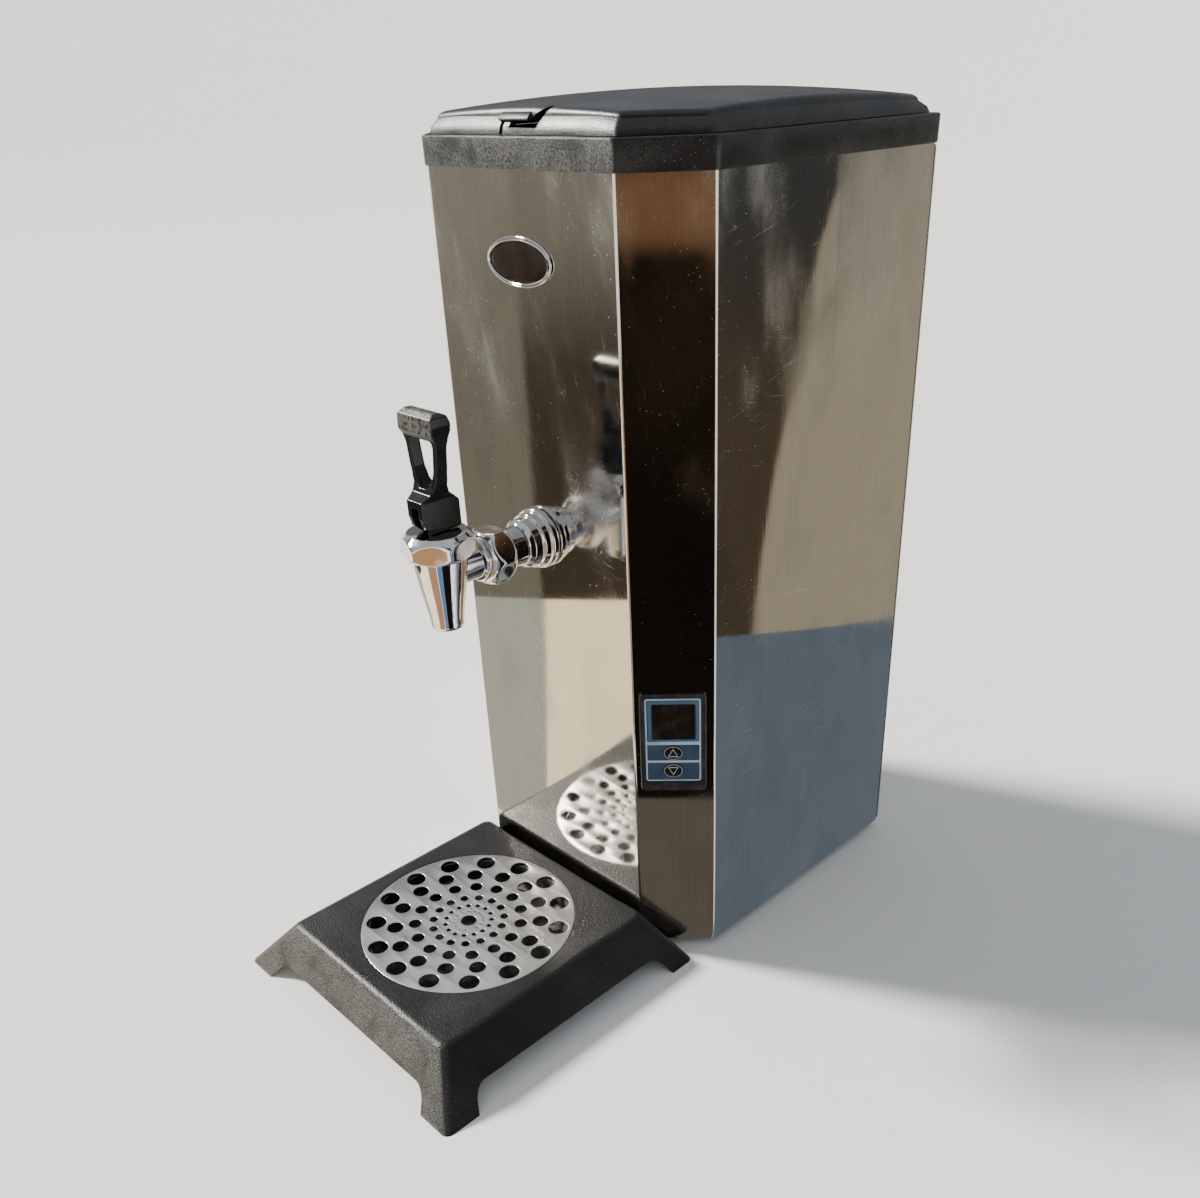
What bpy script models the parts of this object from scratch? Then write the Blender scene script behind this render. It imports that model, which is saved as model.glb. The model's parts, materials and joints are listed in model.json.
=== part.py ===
"""Countertop hot-water dispenser: a stainless cabinet with chamfered front corners,
a crowned black lid, a self-closing lever tap and a free-standing drip tray.

Metres, +Z up. The origin is the middle of the footprint, at counter level, and the
tap side faces -Y.
"""

from math import atan2, cos, hypot, pi, radians, sin, sqrt, tan

import bmesh
import bpy
from mathutils import Matrix, Vector

# Driving dimensions of the cabinet
BODY_WIDTH = 0.2068
BODY_DEPTH = 0.2104
FRONT_WIDTH = 0.1392
CHAMFER_DEPTH = 0.0316
FOOT_HEIGHT = 0.0055
BODY_HEIGHT = 0.440
SHEET = 0.0010
GAP = 0.0003

# Lid and collar
COLLAR_HEIGHT = 0.0144
COLLAR_OVERHANG = 0.0016
COLLAR_LEDGE = 0.0100
CROWN_HEIGHT = 0.0312
LID_INSET = 0.0028
LID_WALL = 0.0025
BEVEL_RISE = 0.0078
BEVEL_RUN = 0.0046

# Tap
TAP_REACH = 0.0695
TAP_HEIGHT = 0.2522
NECK_RADIUS = 0.0096

# Drip tray
TRAY_REACH = 0.1795
TRAY_TOP_HEIGHT = 0.0316
TRAY_TOP_HALF_WIDTH = 0.0760
TRAY_FOOT_HALF_WIDTH = 0.1025
TRAY_GAP = 0.0076
TRAY_TOP_FRONT = 0.1580
TRAY_WALL = 0.0025
GRID_RADIUS = 0.0658
GRID_CENTRE = 0.0809

# Tank
TANK_RADIUS = 0.074
TANK_CENTRE = 0.118
TANK_BOTTOM = 0.201
TANK_HEIGHT = 0.212
TANK_WALL = 0.0012

# The water inlet is what reaches furthest back
INLET_REACH = 0.024

# Places worked out from those
FACE_Y = (TRAY_REACH - BODY_DEPTH - INLET_REACH) / 2
REAR_Y = FACE_Y + BODY_DEPTH
BODY_TOP = FOOT_HEIGHT + BODY_HEIGHT
COLLAR_TOP = BODY_TOP + COLLAR_HEIGHT
CHAMFER_TURN = atan2(CHAMFER_DEPTH, (BODY_WIDTH - FRONT_WIDTH) / 2)
TAP_Y = FACE_Y - TAP_REACH
TAP_Z = FOOT_HEIGHT + TAP_HEIGHT
TANK_Y = FACE_Y + TANK_CENTRE
TANK_Z = FOOT_HEIGHT + TANK_BOTTOM
TANK_TOP = TANK_Z + TANK_HEIGHT
GRID_Y = FACE_Y - GRID_CENTRE
INLET_PLACE = (-0.050, FOOT_HEIGHT + 0.060)
GLAND_PLACE = (0.058, FOOT_HEIGHT + 0.045)

# Turned pieces: rotations that send their own +Z along the named direction
FORWARD = Matrix.Rotation(radians(90), 4, "X")
BACKWARD = Matrix.Rotation(radians(-90), 4, "X")
ALONG_X = Matrix.Rotation(radians(90), 4, "Y")
# Turns a side outline upright: its own X runs along +Y, its own Y up and its own Z along +X
SIDE_ON = Matrix(((0, 0, 1, 0), (1, 0, 0, 0), (0, 1, 0, 0), (0, 0, 0, 1)))


# ---------------------------------------------------------------- scene helpers

def clear_scene():
    for obj in list(bpy.data.objects):
        bpy.data.objects.remove(obj, do_unlink=True)


def new_collection(name):
    collection = bpy.data.collections.new(name)
    bpy.context.scene.collection.children.link(collection)
    return collection


clear_scene()
PARTS = new_collection("hot_water_dispenser")
CUTTERS = new_collection("cutters")


def finish_material(name, colour, roughness, metallic=0.0):
    material = bpy.data.materials.new(name)
    material.use_nodes = True
    shader = material.node_tree.nodes["Principled BSDF"]
    shader.inputs["Base Color"].default_value = (*colour, 1.0)
    shader.inputs["Roughness"].default_value = roughness
    shader.inputs["Metallic"].default_value = metallic
    return material


STAINLESS = ((0.62, 0.60, 0.56), 0.22, 1.0)
CHROME = ((0.80, 0.80, 0.80), 0.08, 1.0)
BRASS = ((0.72, 0.55, 0.28), 0.35, 1.0)
BLACK_PLASTIC = ((0.035, 0.036, 0.038), 0.50, 0.0)
GLOSS_BLACK = ((0.012, 0.012, 0.013), 0.15, 0.0)
RUBBER = ((0.03, 0.03, 0.03), 0.80, 0.0)
SILICONE = ((0.75, 0.70, 0.62), 0.60, 0.0)
BLUE_FILM = ((0.016, 0.032, 0.060), 0.40, 0.0)
DARK_WINDOW = ((0.012, 0.009, 0.007), 0.08, 0.0)
BOARD_GREEN = ((0.02, 0.16, 0.07), 0.50, 0.0)


def add_part(name, mesh, look, matrix=None):
    """Link a mesh as a named sub-part with its own material."""
    obj = bpy.data.objects.new(name, mesh)
    PARTS.objects.link(obj)
    obj.data.materials.append(finish_material(name + "_finish", *look))
    if matrix is not None:
        obj.matrix_world = matrix
    return obj


def as_cutter(obj):
    """Turn an object into a hidden helper for Boolean modifiers."""
    for collection in list(obj.users_collection):
        collection.objects.unlink(obj)
    CUTTERS.objects.link(obj)
    obj.hide_render = True
    obj.display_type = "WIRE"
    return obj


def boolean(target, helper, operation):
    as_cutter(helper)
    modifier = target.modifiers.new(operation.lower(), "BOOLEAN")
    modifier.operation = operation
    modifier.object = helper
    modifier.solver = "EXACT"


def cut(target, *helpers):
    for helper in helpers:
        boolean(target, helper, "DIFFERENCE")


def join(target, *helpers):
    for helper in helpers:
        boolean(target, helper, "UNION")


def at(x=0.0, y=0.0, z=0.0):
    return Matrix.Translation((x, y, z))


def move_origin(obj, place):
    """Put an object's origin at a world point and leave its shape where it is."""
    shift = at(*place)
    obj.data.transform(shift.inverted() @ obj.matrix_world)
    obj.matrix_world = shift


def shade(mesh, angle=35):
    mesh.shade_smooth()
    mesh.set_sharp_from_angle(angle=radians(angle))


# ---------------------------------------------------------------- shape helpers

def turned(name, profile, matrix, look, steps=28):
    """Solid of revolution about its own Z from (radius, height) points, top to bottom."""
    mesh = bpy.data.meshes.new(name)
    edges = [(i, i + 1) for i in range(len(profile) - 1) if profile[i][0] + profile[i + 1][0] > 0]
    if profile[0] != profile[-1] and (profile[0][0] > 0 or profile[-1][0] > 0):
        edges.append((len(profile) - 1, 0))
    mesh.from_pydata([(r, 0.0, z) for r, z in profile], edges, [])
    obj = add_part(name, mesh, look, matrix)
    screw = obj.modifiers.new("turn", "SCREW")
    screw.steps = steps
    screw.render_steps = steps
    screw.use_merge_vertices = True
    screw.merge_threshold = 0.00002
    screw.use_smooth_shade = True
    return obj


def rod(name, radius, z_low, z_high, matrix, look, steps=20, edge=0.0):
    """Plain round bar along its own Z, with an optional chamfer on both ends."""
    profile = [(0.0, z_high), (radius - edge, z_high), (radius, z_high - edge),
               (radius, z_low + edge), (radius - edge, z_low), (0.0, z_low)]
    if edge == 0.0:
        profile = [profile[0], profile[1], profile[4], profile[5]]
    return turned(name, profile, matrix, look, steps)


def ring(name, outer, inner, z_low, z_high, matrix, look, steps=28, edge=0.0):
    """Washer-like ring along its own Z."""
    profile = [(inner, z_high), (outer - edge, z_high), (outer, z_high - edge),
               (outer, z_low + edge), (outer - edge, z_low), (inner, z_low)]
    if edge == 0.0:
        profile = [profile[0], profile[1], profile[4], profile[5]]
    return turned(name, profile, matrix, look, steps)


def box(name, size, centre, look, edge=0.0, matrix=None):
    bm = bmesh.new()
    bmesh.ops.create_cube(bm, size=1.0)
    bmesh.ops.scale(bm, vec=size, verts=bm.verts)
    bmesh.ops.translate(bm, vec=centre, verts=bm.verts)
    mesh = bpy.data.meshes.new(name)
    bm.to_mesh(mesh)
    bm.free()
    obj = add_part(name, mesh, look, matrix)
    if edge:
        bevel = obj.modifiers.new("edges", "BEVEL")
        bevel.width = edge
        bevel.segments = 2
    return obj


def arc(centre, radius, start, stop, steps):
    """Points on a circle, angles in degrees."""
    angles = [radians(start + (stop - start) * i / steps) for i in range(steps + 1)]
    return [(centre[0] + radius * cos(a), centre[1] + radius * sin(a)) for a in angles]


def circle(centre, radius, steps):
    return arc(centre, radius, 0, 360, steps)[:-1]


def oval(centre, half_width, half_height, steps):
    turns = [2 * pi * i / steps for i in range(steps)]
    return [(centre[0] + half_width * cos(a), centre[1] + half_height * sin(a)) for a in turns]


def rounded(points, radius, steps=3):
    """Round every corner of a closed outline."""
    result = []
    count = len(points)
    for i, corner in enumerate(points):
        here = Vector(corner)
        before = (Vector(points[i - 1]) - here).normalized()
        after = (Vector(points[(i + 1) % count]) - here).normalized()
        half = before.angle(after) / 2
        reach = radius / tan(half)
        middle = here + (before + after).normalized() * (radius / sin(half))
        start = here + before * reach - middle
        turn = start.angle_signed(here + after * reach - middle)
        for k in range(steps + 1):
            a = -turn * k / steps
            x = start.x * cos(a) - start.y * sin(a)
            y = start.x * sin(a) + start.y * cos(a)
            result.append((middle.x + x, middle.y + y))
    return result


def rectangle(x0, x1, y0, y1):
    return [(x0, y0), (x1, y0), (x1, y1), (x0, y1)]


def plate(name, outlines, low, high, look, matrix=None):
    """Flat plate from an outline and its holes, between two heights along its own Z."""
    curve = bpy.data.curves.new(name, "CURVE")
    curve.dimensions = "2D"
    curve.fill_mode = "BOTH"
    curve.extrude = (high - low) / 2
    for outline in outlines:
        spline = curve.splines.new("POLY")
        spline.points.add(len(outline) - 1)
        for point, (x, y) in zip(spline.points, outline):
            point.co = (x, y, 0.0, 1.0)
        spline.use_cyclic_u = True
    source = bpy.data.objects.new(name + "_outline", curve)
    mesh = solid_from_curve(source, name)
    mesh.transform(at(z=(low + high) / 2))
    return add_part(name, mesh, look, matrix)


def solid_from_curve(source, name):
    """Mesh of a curve object with its caps welded; the curve itself is removed."""
    CUTTERS.objects.link(source)
    bpy.context.view_layer.update()
    evaluated = source.evaluated_get(bpy.context.evaluated_depsgraph_get())
    mesh = bpy.data.meshes.new_from_object(evaluated)
    mesh.name = name
    mesh.materials.clear()
    bm = bmesh.new()
    bm.from_mesh(mesh)
    bmesh.ops.remove_doubles(bm, verts=bm.verts, dist=0.00001)
    bmesh.ops.recalc_face_normals(bm, faces=bm.faces)
    bm.to_mesh(mesh)
    bm.free()
    bpy.data.objects.remove(source, do_unlink=True)
    return mesh


def tube(name, points, radius, look, resolution=2):
    """Bent round bar along a list of points."""
    curve = bpy.data.curves.new(name, "CURVE")
    curve.dimensions = "3D"
    curve.bevel_depth = radius
    curve.bevel_resolution = resolution
    curve.use_fill_caps = True
    spline = curve.splines.new("POLY")
    spline.points.add(len(points) - 1)
    for point, (x, y, z) in zip(spline.points, points):
        point.co = (x, y, z, 1.0)
    mesh = solid_from_curve(bpy.data.objects.new(name + "_path", curve), name)
    return add_part(name, mesh, look)


def hexagon(across_flats, turn=0.0):
    """Six corners; with no turn, flats face +Y and -Y."""
    radius = across_flats / sqrt(3)
    return [(radius * cos(radians(60 * i + turn)), radius * sin(radians(60 * i + turn)))
            for i in range(6)]


def hex_nut(name, across_flats, bore, z_low, z_high, matrix, look, turn=0.0):
    """Nut along its own Z whose corners are rounded off by a cone at both ends."""
    nut = plate(name, [hexagon(across_flats, turn)], z_low, z_high, look, matrix)
    corner = across_flats / sqrt(3)
    flat = across_flats / 2
    drop = (corner - flat) * 0.75
    widest = corner + 0.0002
    past = 0.0010
    narrowest = flat - 0.0004 - past * (widest - flat + 0.0004) / drop
    envelope = turned(name + "_envelope",
                      [(0.0, z_high + past), (narrowest, z_high + past), (widest, z_high - drop),
                       (widest, z_low + drop), (narrowest, z_low - past), (0.0, z_low - past)],
                      matrix @ Matrix.Rotation(radians(2), 4, "Z"), look, 24)
    boolean(nut, envelope, "INTERSECT")
    cut(nut, rod(name + "_bore", bore, z_low - 0.01, z_high + 0.01, matrix, look, 20))
    return nut


def cabinet_outline(offset):
    """The cabinet's plan, moved outwards by an offset; it runs anticlockwise."""
    front_half = FRONT_WIDTH / 2 + offset * tan(CHAMFER_TURN / 2)
    side_start = FACE_Y + CHAMFER_DEPTH - offset * tan((pi / 2 - CHAMFER_TURN) / 2)
    half = BODY_WIDTH / 2 + offset
    front = FACE_Y - offset
    rear = REAR_Y + offset
    return [(-front_half, front), (front_half, front), (half, side_start),
            (half, rear), (-half, rear), (-half, side_start)]


def held_back(outline, rear):
    """The same outline, reaching no further back than the given line."""
    return [(x, min(y, rear)) for x, y in outline]


# ---------------------------------------------------------------- cabinet

REAR_PANEL_Y = REAR_Y - SHEET
FLANGE_WIDTH = 0.012
SCREW_X = BODY_WIDTH / 2 - 0.006
SCREW_ROWS = (FOOT_HEIGHT + 0.030, FOOT_HEIGHT + 0.405)
SHEET_TOP = BODY_TOP + 0.006


def cabinet_shell():
    """Front, chamfers and sides folded from one sheet, with flanges at the rear."""
    inset = SHEET / 2
    outline = cabinet_outline(-inset)
    edge_y = REAR_PANEL_Y - GAP - inset
    lip = BODY_WIDTH / 2 - inset - FLANGE_WIDTH
    side = BODY_WIDTH / 2 - inset
    path = [(lip, edge_y), (side, edge_y), outline[2], outline[1],
            outline[0], outline[5], (-side, edge_y), (-lip, edge_y)]
    bm = bmesh.new()
    corners = [bm.verts.new((x, y, FOOT_HEIGHT)) for x, y in path]
    edges = [bm.edges.new(pair) for pair in zip(corners, corners[1:])]
    grown = bmesh.ops.extrude_edge_only(bm, edges=edges)["geom"]
    raised = [item for item in grown if isinstance(item, bmesh.types.BMVert)]
    bmesh.ops.translate(bm, vec=(0, 0, SHEET_TOP - FOOT_HEIGHT), verts=raised)
    mesh = bpy.data.meshes.new("cabinet_shell")
    bm.to_mesh(mesh)
    bm.free()
    shell = add_part("cabinet_shell", mesh, STAINLESS)
    bend = shell.modifiers.new("bends", "BEVEL")
    bend.width = 0.0015
    bend.segments = 3
    bend.limit_method = "ANGLE"
    bend.angle_limit = radians(20)
    thick = shell.modifiers.new("sheet", "SOLIDIFY")
    thick.thickness = SHEET
    thick.offset = 0.0
    thick.use_even_offset = True
    cut(shell, rod("shank_hole", 0.0078, -0.01, 0.01, at(0, FACE_Y, TAP_Z) @ FORWARD, STAINLESS))
    window = rounded(rectangle(PANEL_CUT[0], PANEL_CUT[1], PANEL_CUT[2], PANEL_CUT[3]), 0.002)
    cut(shell, plate("panel_cutout", [window], -0.004, 0.004, STAINLESS, CHAMFER_FRAME))
    for side_sign in (-1, 1):
        for z in SCREW_ROWS:
            place = at(side_sign * SCREW_X, edge_y, z) @ BACKWARD
            cut(shell, rod("flange_hole", 0.0019, -0.003, 0.003, place, STAINLESS, 16))
    return shell


def rear_panel():
    half = BODY_WIDTH / 2 - 0.0002
    outline = rounded(rectangle(-half, half, FOOT_HEIGHT + GAP, BODY_TOP - GAP), 0.002)
    holes = [circle(INLET_PLACE, 0.0136, 32), circle(GLAND_PLACE, 0.0084, 24)]
    for side_sign in (-1, 1):
        for z in SCREW_ROWS:
            holes.append(circle((side_sign * SCREW_X, z), 0.0019, 12))
    return plate("rear_panel", [outline] + holes, 0.0, SHEET, STAINLESS, at(0, REAR_Y, 0) @ FORWARD)


def rear_screws():
    names = ("lower_left", "upper_left", "lower_right", "upper_right")
    places = [(side, z) for side in (-1, 1) for z in SCREW_ROWS]
    for name, (side_sign, z) in zip(names, places):
        profile = [(0.0, 0.0022), (0.0022, 0.0021), (0.0033, 0.0012), (0.0035, GAP),
                   (0.0015, GAP), (0.0015, -0.0060), (0.0, -0.0066)]
        place = at(side_sign * SCREW_X, REAR_Y, z) @ BACKWARD
        turned("rear_screw_" + name, profile, place, CHROME, 16)


def base_plate():
    outline = held_back(cabinet_outline(-SHEET - 0.0009), REAR_PANEL_Y - SHEET - 0.0009)
    low = FOOT_HEIGHT + 0.0006
    return plate("base_plate", [outline], low, low + 0.0012, STAINLESS)


def feet():
    names = ("front_left", "front_right", "rear_left", "rear_right")
    places = [(x, FACE_Y + y) for y in (0.032, 0.185) for x in (-0.070, 0.070)]
    for name, (x, y) in zip(names, places):
        rod("foot_" + name, 0.011, 0.0, FOOT_HEIGHT + GAP, at(x, y, 0), RUBBER, 24, 0.001)


# ---------------------------------------------------------------- collar and lid

HINGE_Y = REAR_Y + COLLAR_OVERHANG - 0.0032
HINGE_Z = COLLAR_TOP + 0.0033
HINGE_RADIUS = 0.0030
HINGE_X = (-0.060, 0.060)
LID_EDGE_Z = COLLAR_TOP + GAP
CROWN_Y = FACE_Y + 0.112
CROWN_TOP = BODY_TOP + CROWN_HEIGHT
CROWN_FALL_X = 0.52
CROWN_FALL_Y = 0.43


def knuckle(name, x_low, x_high, radius=HINGE_RADIUS):
    return rod(name, radius, x_low, x_high, at(0, HINGE_Y, HINGE_Z) @ ALONG_X, BLACK_PLASTIC, 16)


def lid_collar():
    """Moulded band that caps the sheet's top edge and carries the lid."""
    outer = rounded(cabinet_outline(COLLAR_OVERHANG), 0.004, 3)
    inner = rounded(cabinet_outline(-COLLAR_LEDGE), 0.003, 2)
    collar = plate("lid_collar", [outer, inner], BODY_TOP, COLLAR_TOP, BLACK_PLASTIC)
    behind_sheet = held_back(cabinet_outline(-SHEET - 0.0005), REAR_PANEL_Y - SHEET - 3 * GAP)
    groove = [rounded(cabinet_outline(GAP), 0.001, 2), behind_sheet]
    cut(collar, plate("sheet_groove", groove, BODY_TOP - 0.002, SHEET_TOP + GAP, BLACK_PLASTIC))
    for x in HINGE_X:
        for side_sign in (-1, 1):
            inner_x = x + side_sign * 0.0063
            outer_x = x + side_sign * 0.0113
            low, high = sorted((inner_x, outer_x))
            join(collar, knuckle("collar_knuckle", low, high))
            foot = box("knuckle_foot", (high - low, 0.0040, 0.0040),
                       ((low + high) / 2, HINGE_Y, COLLAR_TOP + 0.0012), BLACK_PLASTIC)
            join(collar, foot)
        cut(collar, rod("pin_bore", 0.0016, x - 0.015, x + 0.015,
                        at(0, HINGE_Y, HINGE_Z) @ ALONG_X, BLACK_PLASTIC, 16))
    return collar


def crown_height(x, y):
    """Height of the doubly crowned top above the plan point."""
    return CROWN_TOP - CROWN_FALL_X * x * x - CROWN_FALL_Y * (y - CROWN_Y) ** 2


def lid():
    """Crowned cover: a steep bevel, a rounded shoulder and a domed top, moulded as a shell."""
    bm = bmesh.new()
    edge = rounded(cabinet_outline(-LID_INSET), 0.0035, 3)
    middle = Vector((0, CROWN_Y, 0))

    def level(inset, drop):
        loop = rounded(cabinet_outline(-LID_INSET - inset), 0.0035, 3)
        return [Vector((x, y, crown_height(x, y) - drop)) for x, y in loop]

    low = [Vector((x, y, LID_EDGE_Z)) for x, y in edge]
    bevel = [Vector((p.x, p.y, min(p.z, LID_EDGE_Z + BEVEL_RISE)))
             for p in level(BEVEL_RUN, 0.0024)]
    loops = [low, bevel, level(BEVEL_RUN + 0.0009, 0.0009), level(BEVEL_RUN + 0.0030, 0.0)]
    shoulder = loops[-1]
    for share in (0.75, 0.5, 0.25):
        loop = [middle + (Vector((p.x, p.y, 0)) - middle) * share for p in shoulder]
        loops.append([Vector((p.x, p.y, crown_height(p.x, p.y))) for p in loop])
    rings = [[bm.verts.new(p) for p in loop] for loop in loops]
    for below, above in zip(rings, rings[1:]):
        for i in range(len(below)):
            k = (i + 1) % len(below)
            bm.faces.new((below[i], below[k], above[k], above[i]))
    centre = bm.verts.new((0, CROWN_Y, CROWN_TOP))
    for i in range(len(rings[-1])):
        bm.faces.new((rings[-1][i], rings[-1][(i + 1) % len(rings[-1])], centre))
    mesh = bpy.data.meshes.new("lid")
    bm.to_mesh(mesh)
    bm.free()
    shade(mesh)
    cover = add_part("lid", mesh, BLACK_PLASTIC)
    thick = cover.modifiers.new("wall", "SOLIDIFY")
    thick.thickness = LID_WALL
    thick.offset = -1.0
    thick.use_even_offset = True
    below = box("below_edge", (0.3, 0.3, 0.0100), (0, CROWN_Y, LID_EDGE_Z - 0.0049), BLACK_PLASTIC)
    cut(cover, below)
    finger_notch(cover)
    for x in HINGE_X:
        cut(cover, box("knuckle_room", (0.0233, 0.0100, 0.0090),
                       (x, HINGE_Y + 0.0017, HINGE_Z - 0.0011), BLACK_PLASTIC))
    for x in HINGE_X:
        join(cover, box("knuckle_bridge", (0.0118, 0.0040, 0.0034),
                        (x, HINGE_Y - 0.0041, HINGE_Z + 0.0004), BLACK_PLASTIC))
        join(cover, ring("lid_knuckle", HINGE_RADIUS, 0.0018, x - 0.0060, x + 0.0060,
                         at(0, HINGE_Y, HINGE_Z) @ ALONG_X, BLACK_PLASTIC, 16))
    move_origin(cover, (0, HINGE_Y, HINGE_Z))
    return cover


NOTCH_RIGHT = 0.0175
TAB_LEFT = -0.0135
TAB_RIGHT = 0.0085


def finger_notch(cover):
    """Recess in the front bevel under a tab that carries the crown forwards."""
    front = FACE_Y + LID_INSET
    recess = box("finger_recess", (NOTCH_RIGHT + 0.0055, 0.030, 0.0034),
                 ((NOTCH_RIGHT - 0.0055) / 2, front, LID_EDGE_Z + 0.0046), BLACK_PLASTIC)
    slit = box("finger_slit", (0.0028, 0.030, 0.0056),
               (-0.0112, front, LID_EDGE_Z + 0.0033), BLACK_PLASTIC)
    gap = box("tab_gap", (0.0072, 0.0150, 0.0090),
              (TAB_RIGHT + 0.0040, front, LID_EDGE_Z + 0.0088), BLACK_PLASTIC)
    tab = box("lift_tab", (TAB_RIGHT - TAB_LEFT, 0.0100, 0.0026),
              ((TAB_LEFT + TAB_RIGHT) / 2, front + 0.0062, LID_EDGE_Z + 0.0083), BLACK_PLASTIC)
    cut(cover, recess, slit, gap)
    join(cover, tab)


def lid_pins():
    for name, x in zip(("left", "right"), HINGE_X):
        rod("lid_hinge_pin_" + name, 0.0013, x - 0.0112, x + 0.0112,
            at(0, HINGE_Y, HINGE_Z) @ ALONG_X, STAINLESS, 24)


# ---------------------------------------------------------------- badge and display

BADGE_Z = FOOT_HEIGHT + 0.3979
BADGE_HALF_WIDTH = 0.02475
BADGE_HALF_HEIGHT = 0.01225
FACE_FRAME = at(0, FACE_Y, 0) @ FORWARD
CHAMFER_FRAME = (at(FRONT_WIDTH / 2, FACE_Y, FOOT_HEIGHT)
                 @ Matrix.Rotation(CHAMFER_TURN, 4, "Z") @ FORWARD)
BEZEL = (0.0034, 0.0413, 0.1127, 0.1765)
OVERLAY = (0.0064, 0.0383, 0.1191, 0.1735)
PANEL_CUT = (0.0090, 0.0357, 0.1210, 0.1715)
WINDOW = (0.0103, 0.0351, 0.1470, 0.1698)
BUTTON_U = 0.0222
BUTTON_HEIGHTS = {"button_up": 0.1380, "button_down": 0.1261}
BUTTON_HALF_WIDTH = 0.0056
BUTTON_HALF_HEIGHT = 0.0046


def shrink(limits, by):
    u0, u1, v0, v1 = limits
    return rectangle(u0 + by, u1 - by, v0 + by, v1 - by)


def badge():
    """Blank oval badge: a bright rim round a dark enamelled face."""
    outer = oval((0, BADGE_Z), BADGE_HALF_WIDTH, BADGE_HALF_HEIGHT, 32)
    inner = oval((0, BADGE_Z), BADGE_HALF_WIDTH - 0.0030, BADGE_HALF_HEIGHT - 0.0030, 32)
    face = oval((0, BADGE_Z), BADGE_HALF_WIDTH - 0.0033, BADGE_HALF_HEIGHT - 0.0033, 32)
    plate("badge_rim", [outer, inner], GAP, 0.0018, CHROME, FACE_FRAME)
    plate("badge_face", [face], GAP, 0.0011, GLOSS_BLACK, FACE_FRAME)


def button(name, height):
    """Oval key whose origin is the middle of its own travel line."""
    place = CHAMFER_FRAME @ at(BUTTON_U, height, 0.0)
    cap = oval((0, 0), BUTTON_HALF_WIDTH, BUTTON_HALF_HEIGHT, 24)
    return plate(name, [cap], -GAP, 0.0019, GLOSS_BLACK, place)


def display_panel():
    """Bezel, printed overlay, window and keys on the right chamfer, with the board behind."""
    frame = [rounded(shrink(BEZEL, 0), 0.003), rounded(shrink(OVERLAY, -GAP), 0.001)]
    plate("panel_bezel", frame, GAP, 0.0020, BLACK_PLASTIC, CHAMFER_FRAME)
    holes = [rounded(shrink(WINDOW, 0), 0.0008)]
    for height in BUTTON_HEIGHTS.values():
        holes.append(oval((BUTTON_U, height), BUTTON_HALF_WIDTH + GAP, BUTTON_HALF_HEIGHT + GAP, 24))
    film = [rounded(shrink(OVERLAY, 0), 0.001)] + holes
    plate("panel_overlay", film, GAP, 0.0015, BLUE_FILM, CHAMFER_FRAME)
    plate("display_window", [rounded(shrink(WINDOW, GAP), 0.0005)], -0.0004, 0.0014,
          DARK_WINDOW, CHAMFER_FRAME)
    for name, height in BUTTON_HEIGHTS.items():
        button(name, height)
    plate("display_module", [shrink(WINDOW, 0.0004)], -0.0087, -0.0007, GLOSS_BLACK, CHAMFER_FRAME)
    plate("control_board", [rectangle(0.0075, 0.0385, 0.1130, 0.1760)], -0.0106, -0.0090,
          BOARD_GREEN, CHAMFER_FRAME)
    for name, height in BUTTON_HEIGHTS.items():
        key = name.replace("button", "key_switch")
        place = CHAMFER_FRAME @ at(BUTTON_U, height, 0.0)
        box(key, (0.0060, 0.0060, 0.0070), (0, 0, -0.0052), GLOSS_BLACK, 0.0, place)


# ---------------------------------------------------------------- tap

SPOUT = at(0, TAP_Y, TAP_Z)
SHANK = at(0, FACE_Y, TAP_Z) @ FORWARD
PIN_Z = TAP_Z + 0.0315
BONNET_LOW = 0.0100
BONNET_HIGH = 0.0238
BONNET_TURN = -16.0


def tap_body():
    """Tapered spout under a valve chamber, with the neck that leads back to the shank."""
    outer = [(0.0, 0.0185), (0.0125, 0.0185), (0.0125, 0.0097), (0.0148, 0.0097),
             (0.0146, 0.0070), (0.0134, 0.0), (0.0110, -0.0150), (0.0092, -0.0262),
             (0.0089, -0.0292), (0.0078, -0.0310), (0.0, -0.0310)]
    body = turned("tap_body", outer, SPOUT, CHROME, 32)
    join(body, rod("tap_neck", NECK_RADIUS, 0.0360, TAP_REACH, SHANK, CHROME, 28))
    cut(body, rod("chamber", 0.0095, -0.0085, 0.0230, SPOUT, CHROME, 24))
    cut(body, rod("spout_bore", 0.0058, -0.0400, -0.0050, SPOUT, CHROME, 20))
    cut(body, rod("neck_bore", 0.0050, 0.0300, TAP_REACH - 0.0020, SHANK, CHROME))
    return body


def tap_bonnet():
    """Hexagonal cap screwed over the valve chamber."""
    bonnet = hex_nut("tap_bonnet", 0.0360, 0.0031, BONNET_LOW, BONNET_HIGH, SPOUT, CHROME,
                     BONNET_TURN)
    cut(bonnet, rod("bonnet_thread", 0.0128, 0.0, 0.0188, SPOUT, CHROME, 24))
    return bonnet


def valve_stem():
    """Plunger rod with a flat tang that the handle's pin goes through."""
    stem = rod("valve_stem", 0.0028, -0.0020, 0.0275, SPOUT, CHROME)
    join(stem, box("tang", (0.0044, 0.0080, 0.0125), (0, 0, 0.0307), CHROME, 0.0, SPOUT))
    cut(stem, rod("tang_bore", 0.0018, -0.01, 0.01, at(0, TAP_Y, PIN_Z) @ ALONG_X, CHROME))
    return stem


def seat_cup():
    """Soft plug that closes the spout's seat."""
    profile = [(0.0031, 0.0020), (0.0074, 0.0020), (0.0080, 0.0010), (0.0080, -0.0055),
               (0.0066, -0.0082), (0.0, -0.0082), (0.0, -0.0024), (0.0031, -0.0024)]
    return turned("seat_cup", profile, SPOUT, SILICONE, 28)


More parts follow.
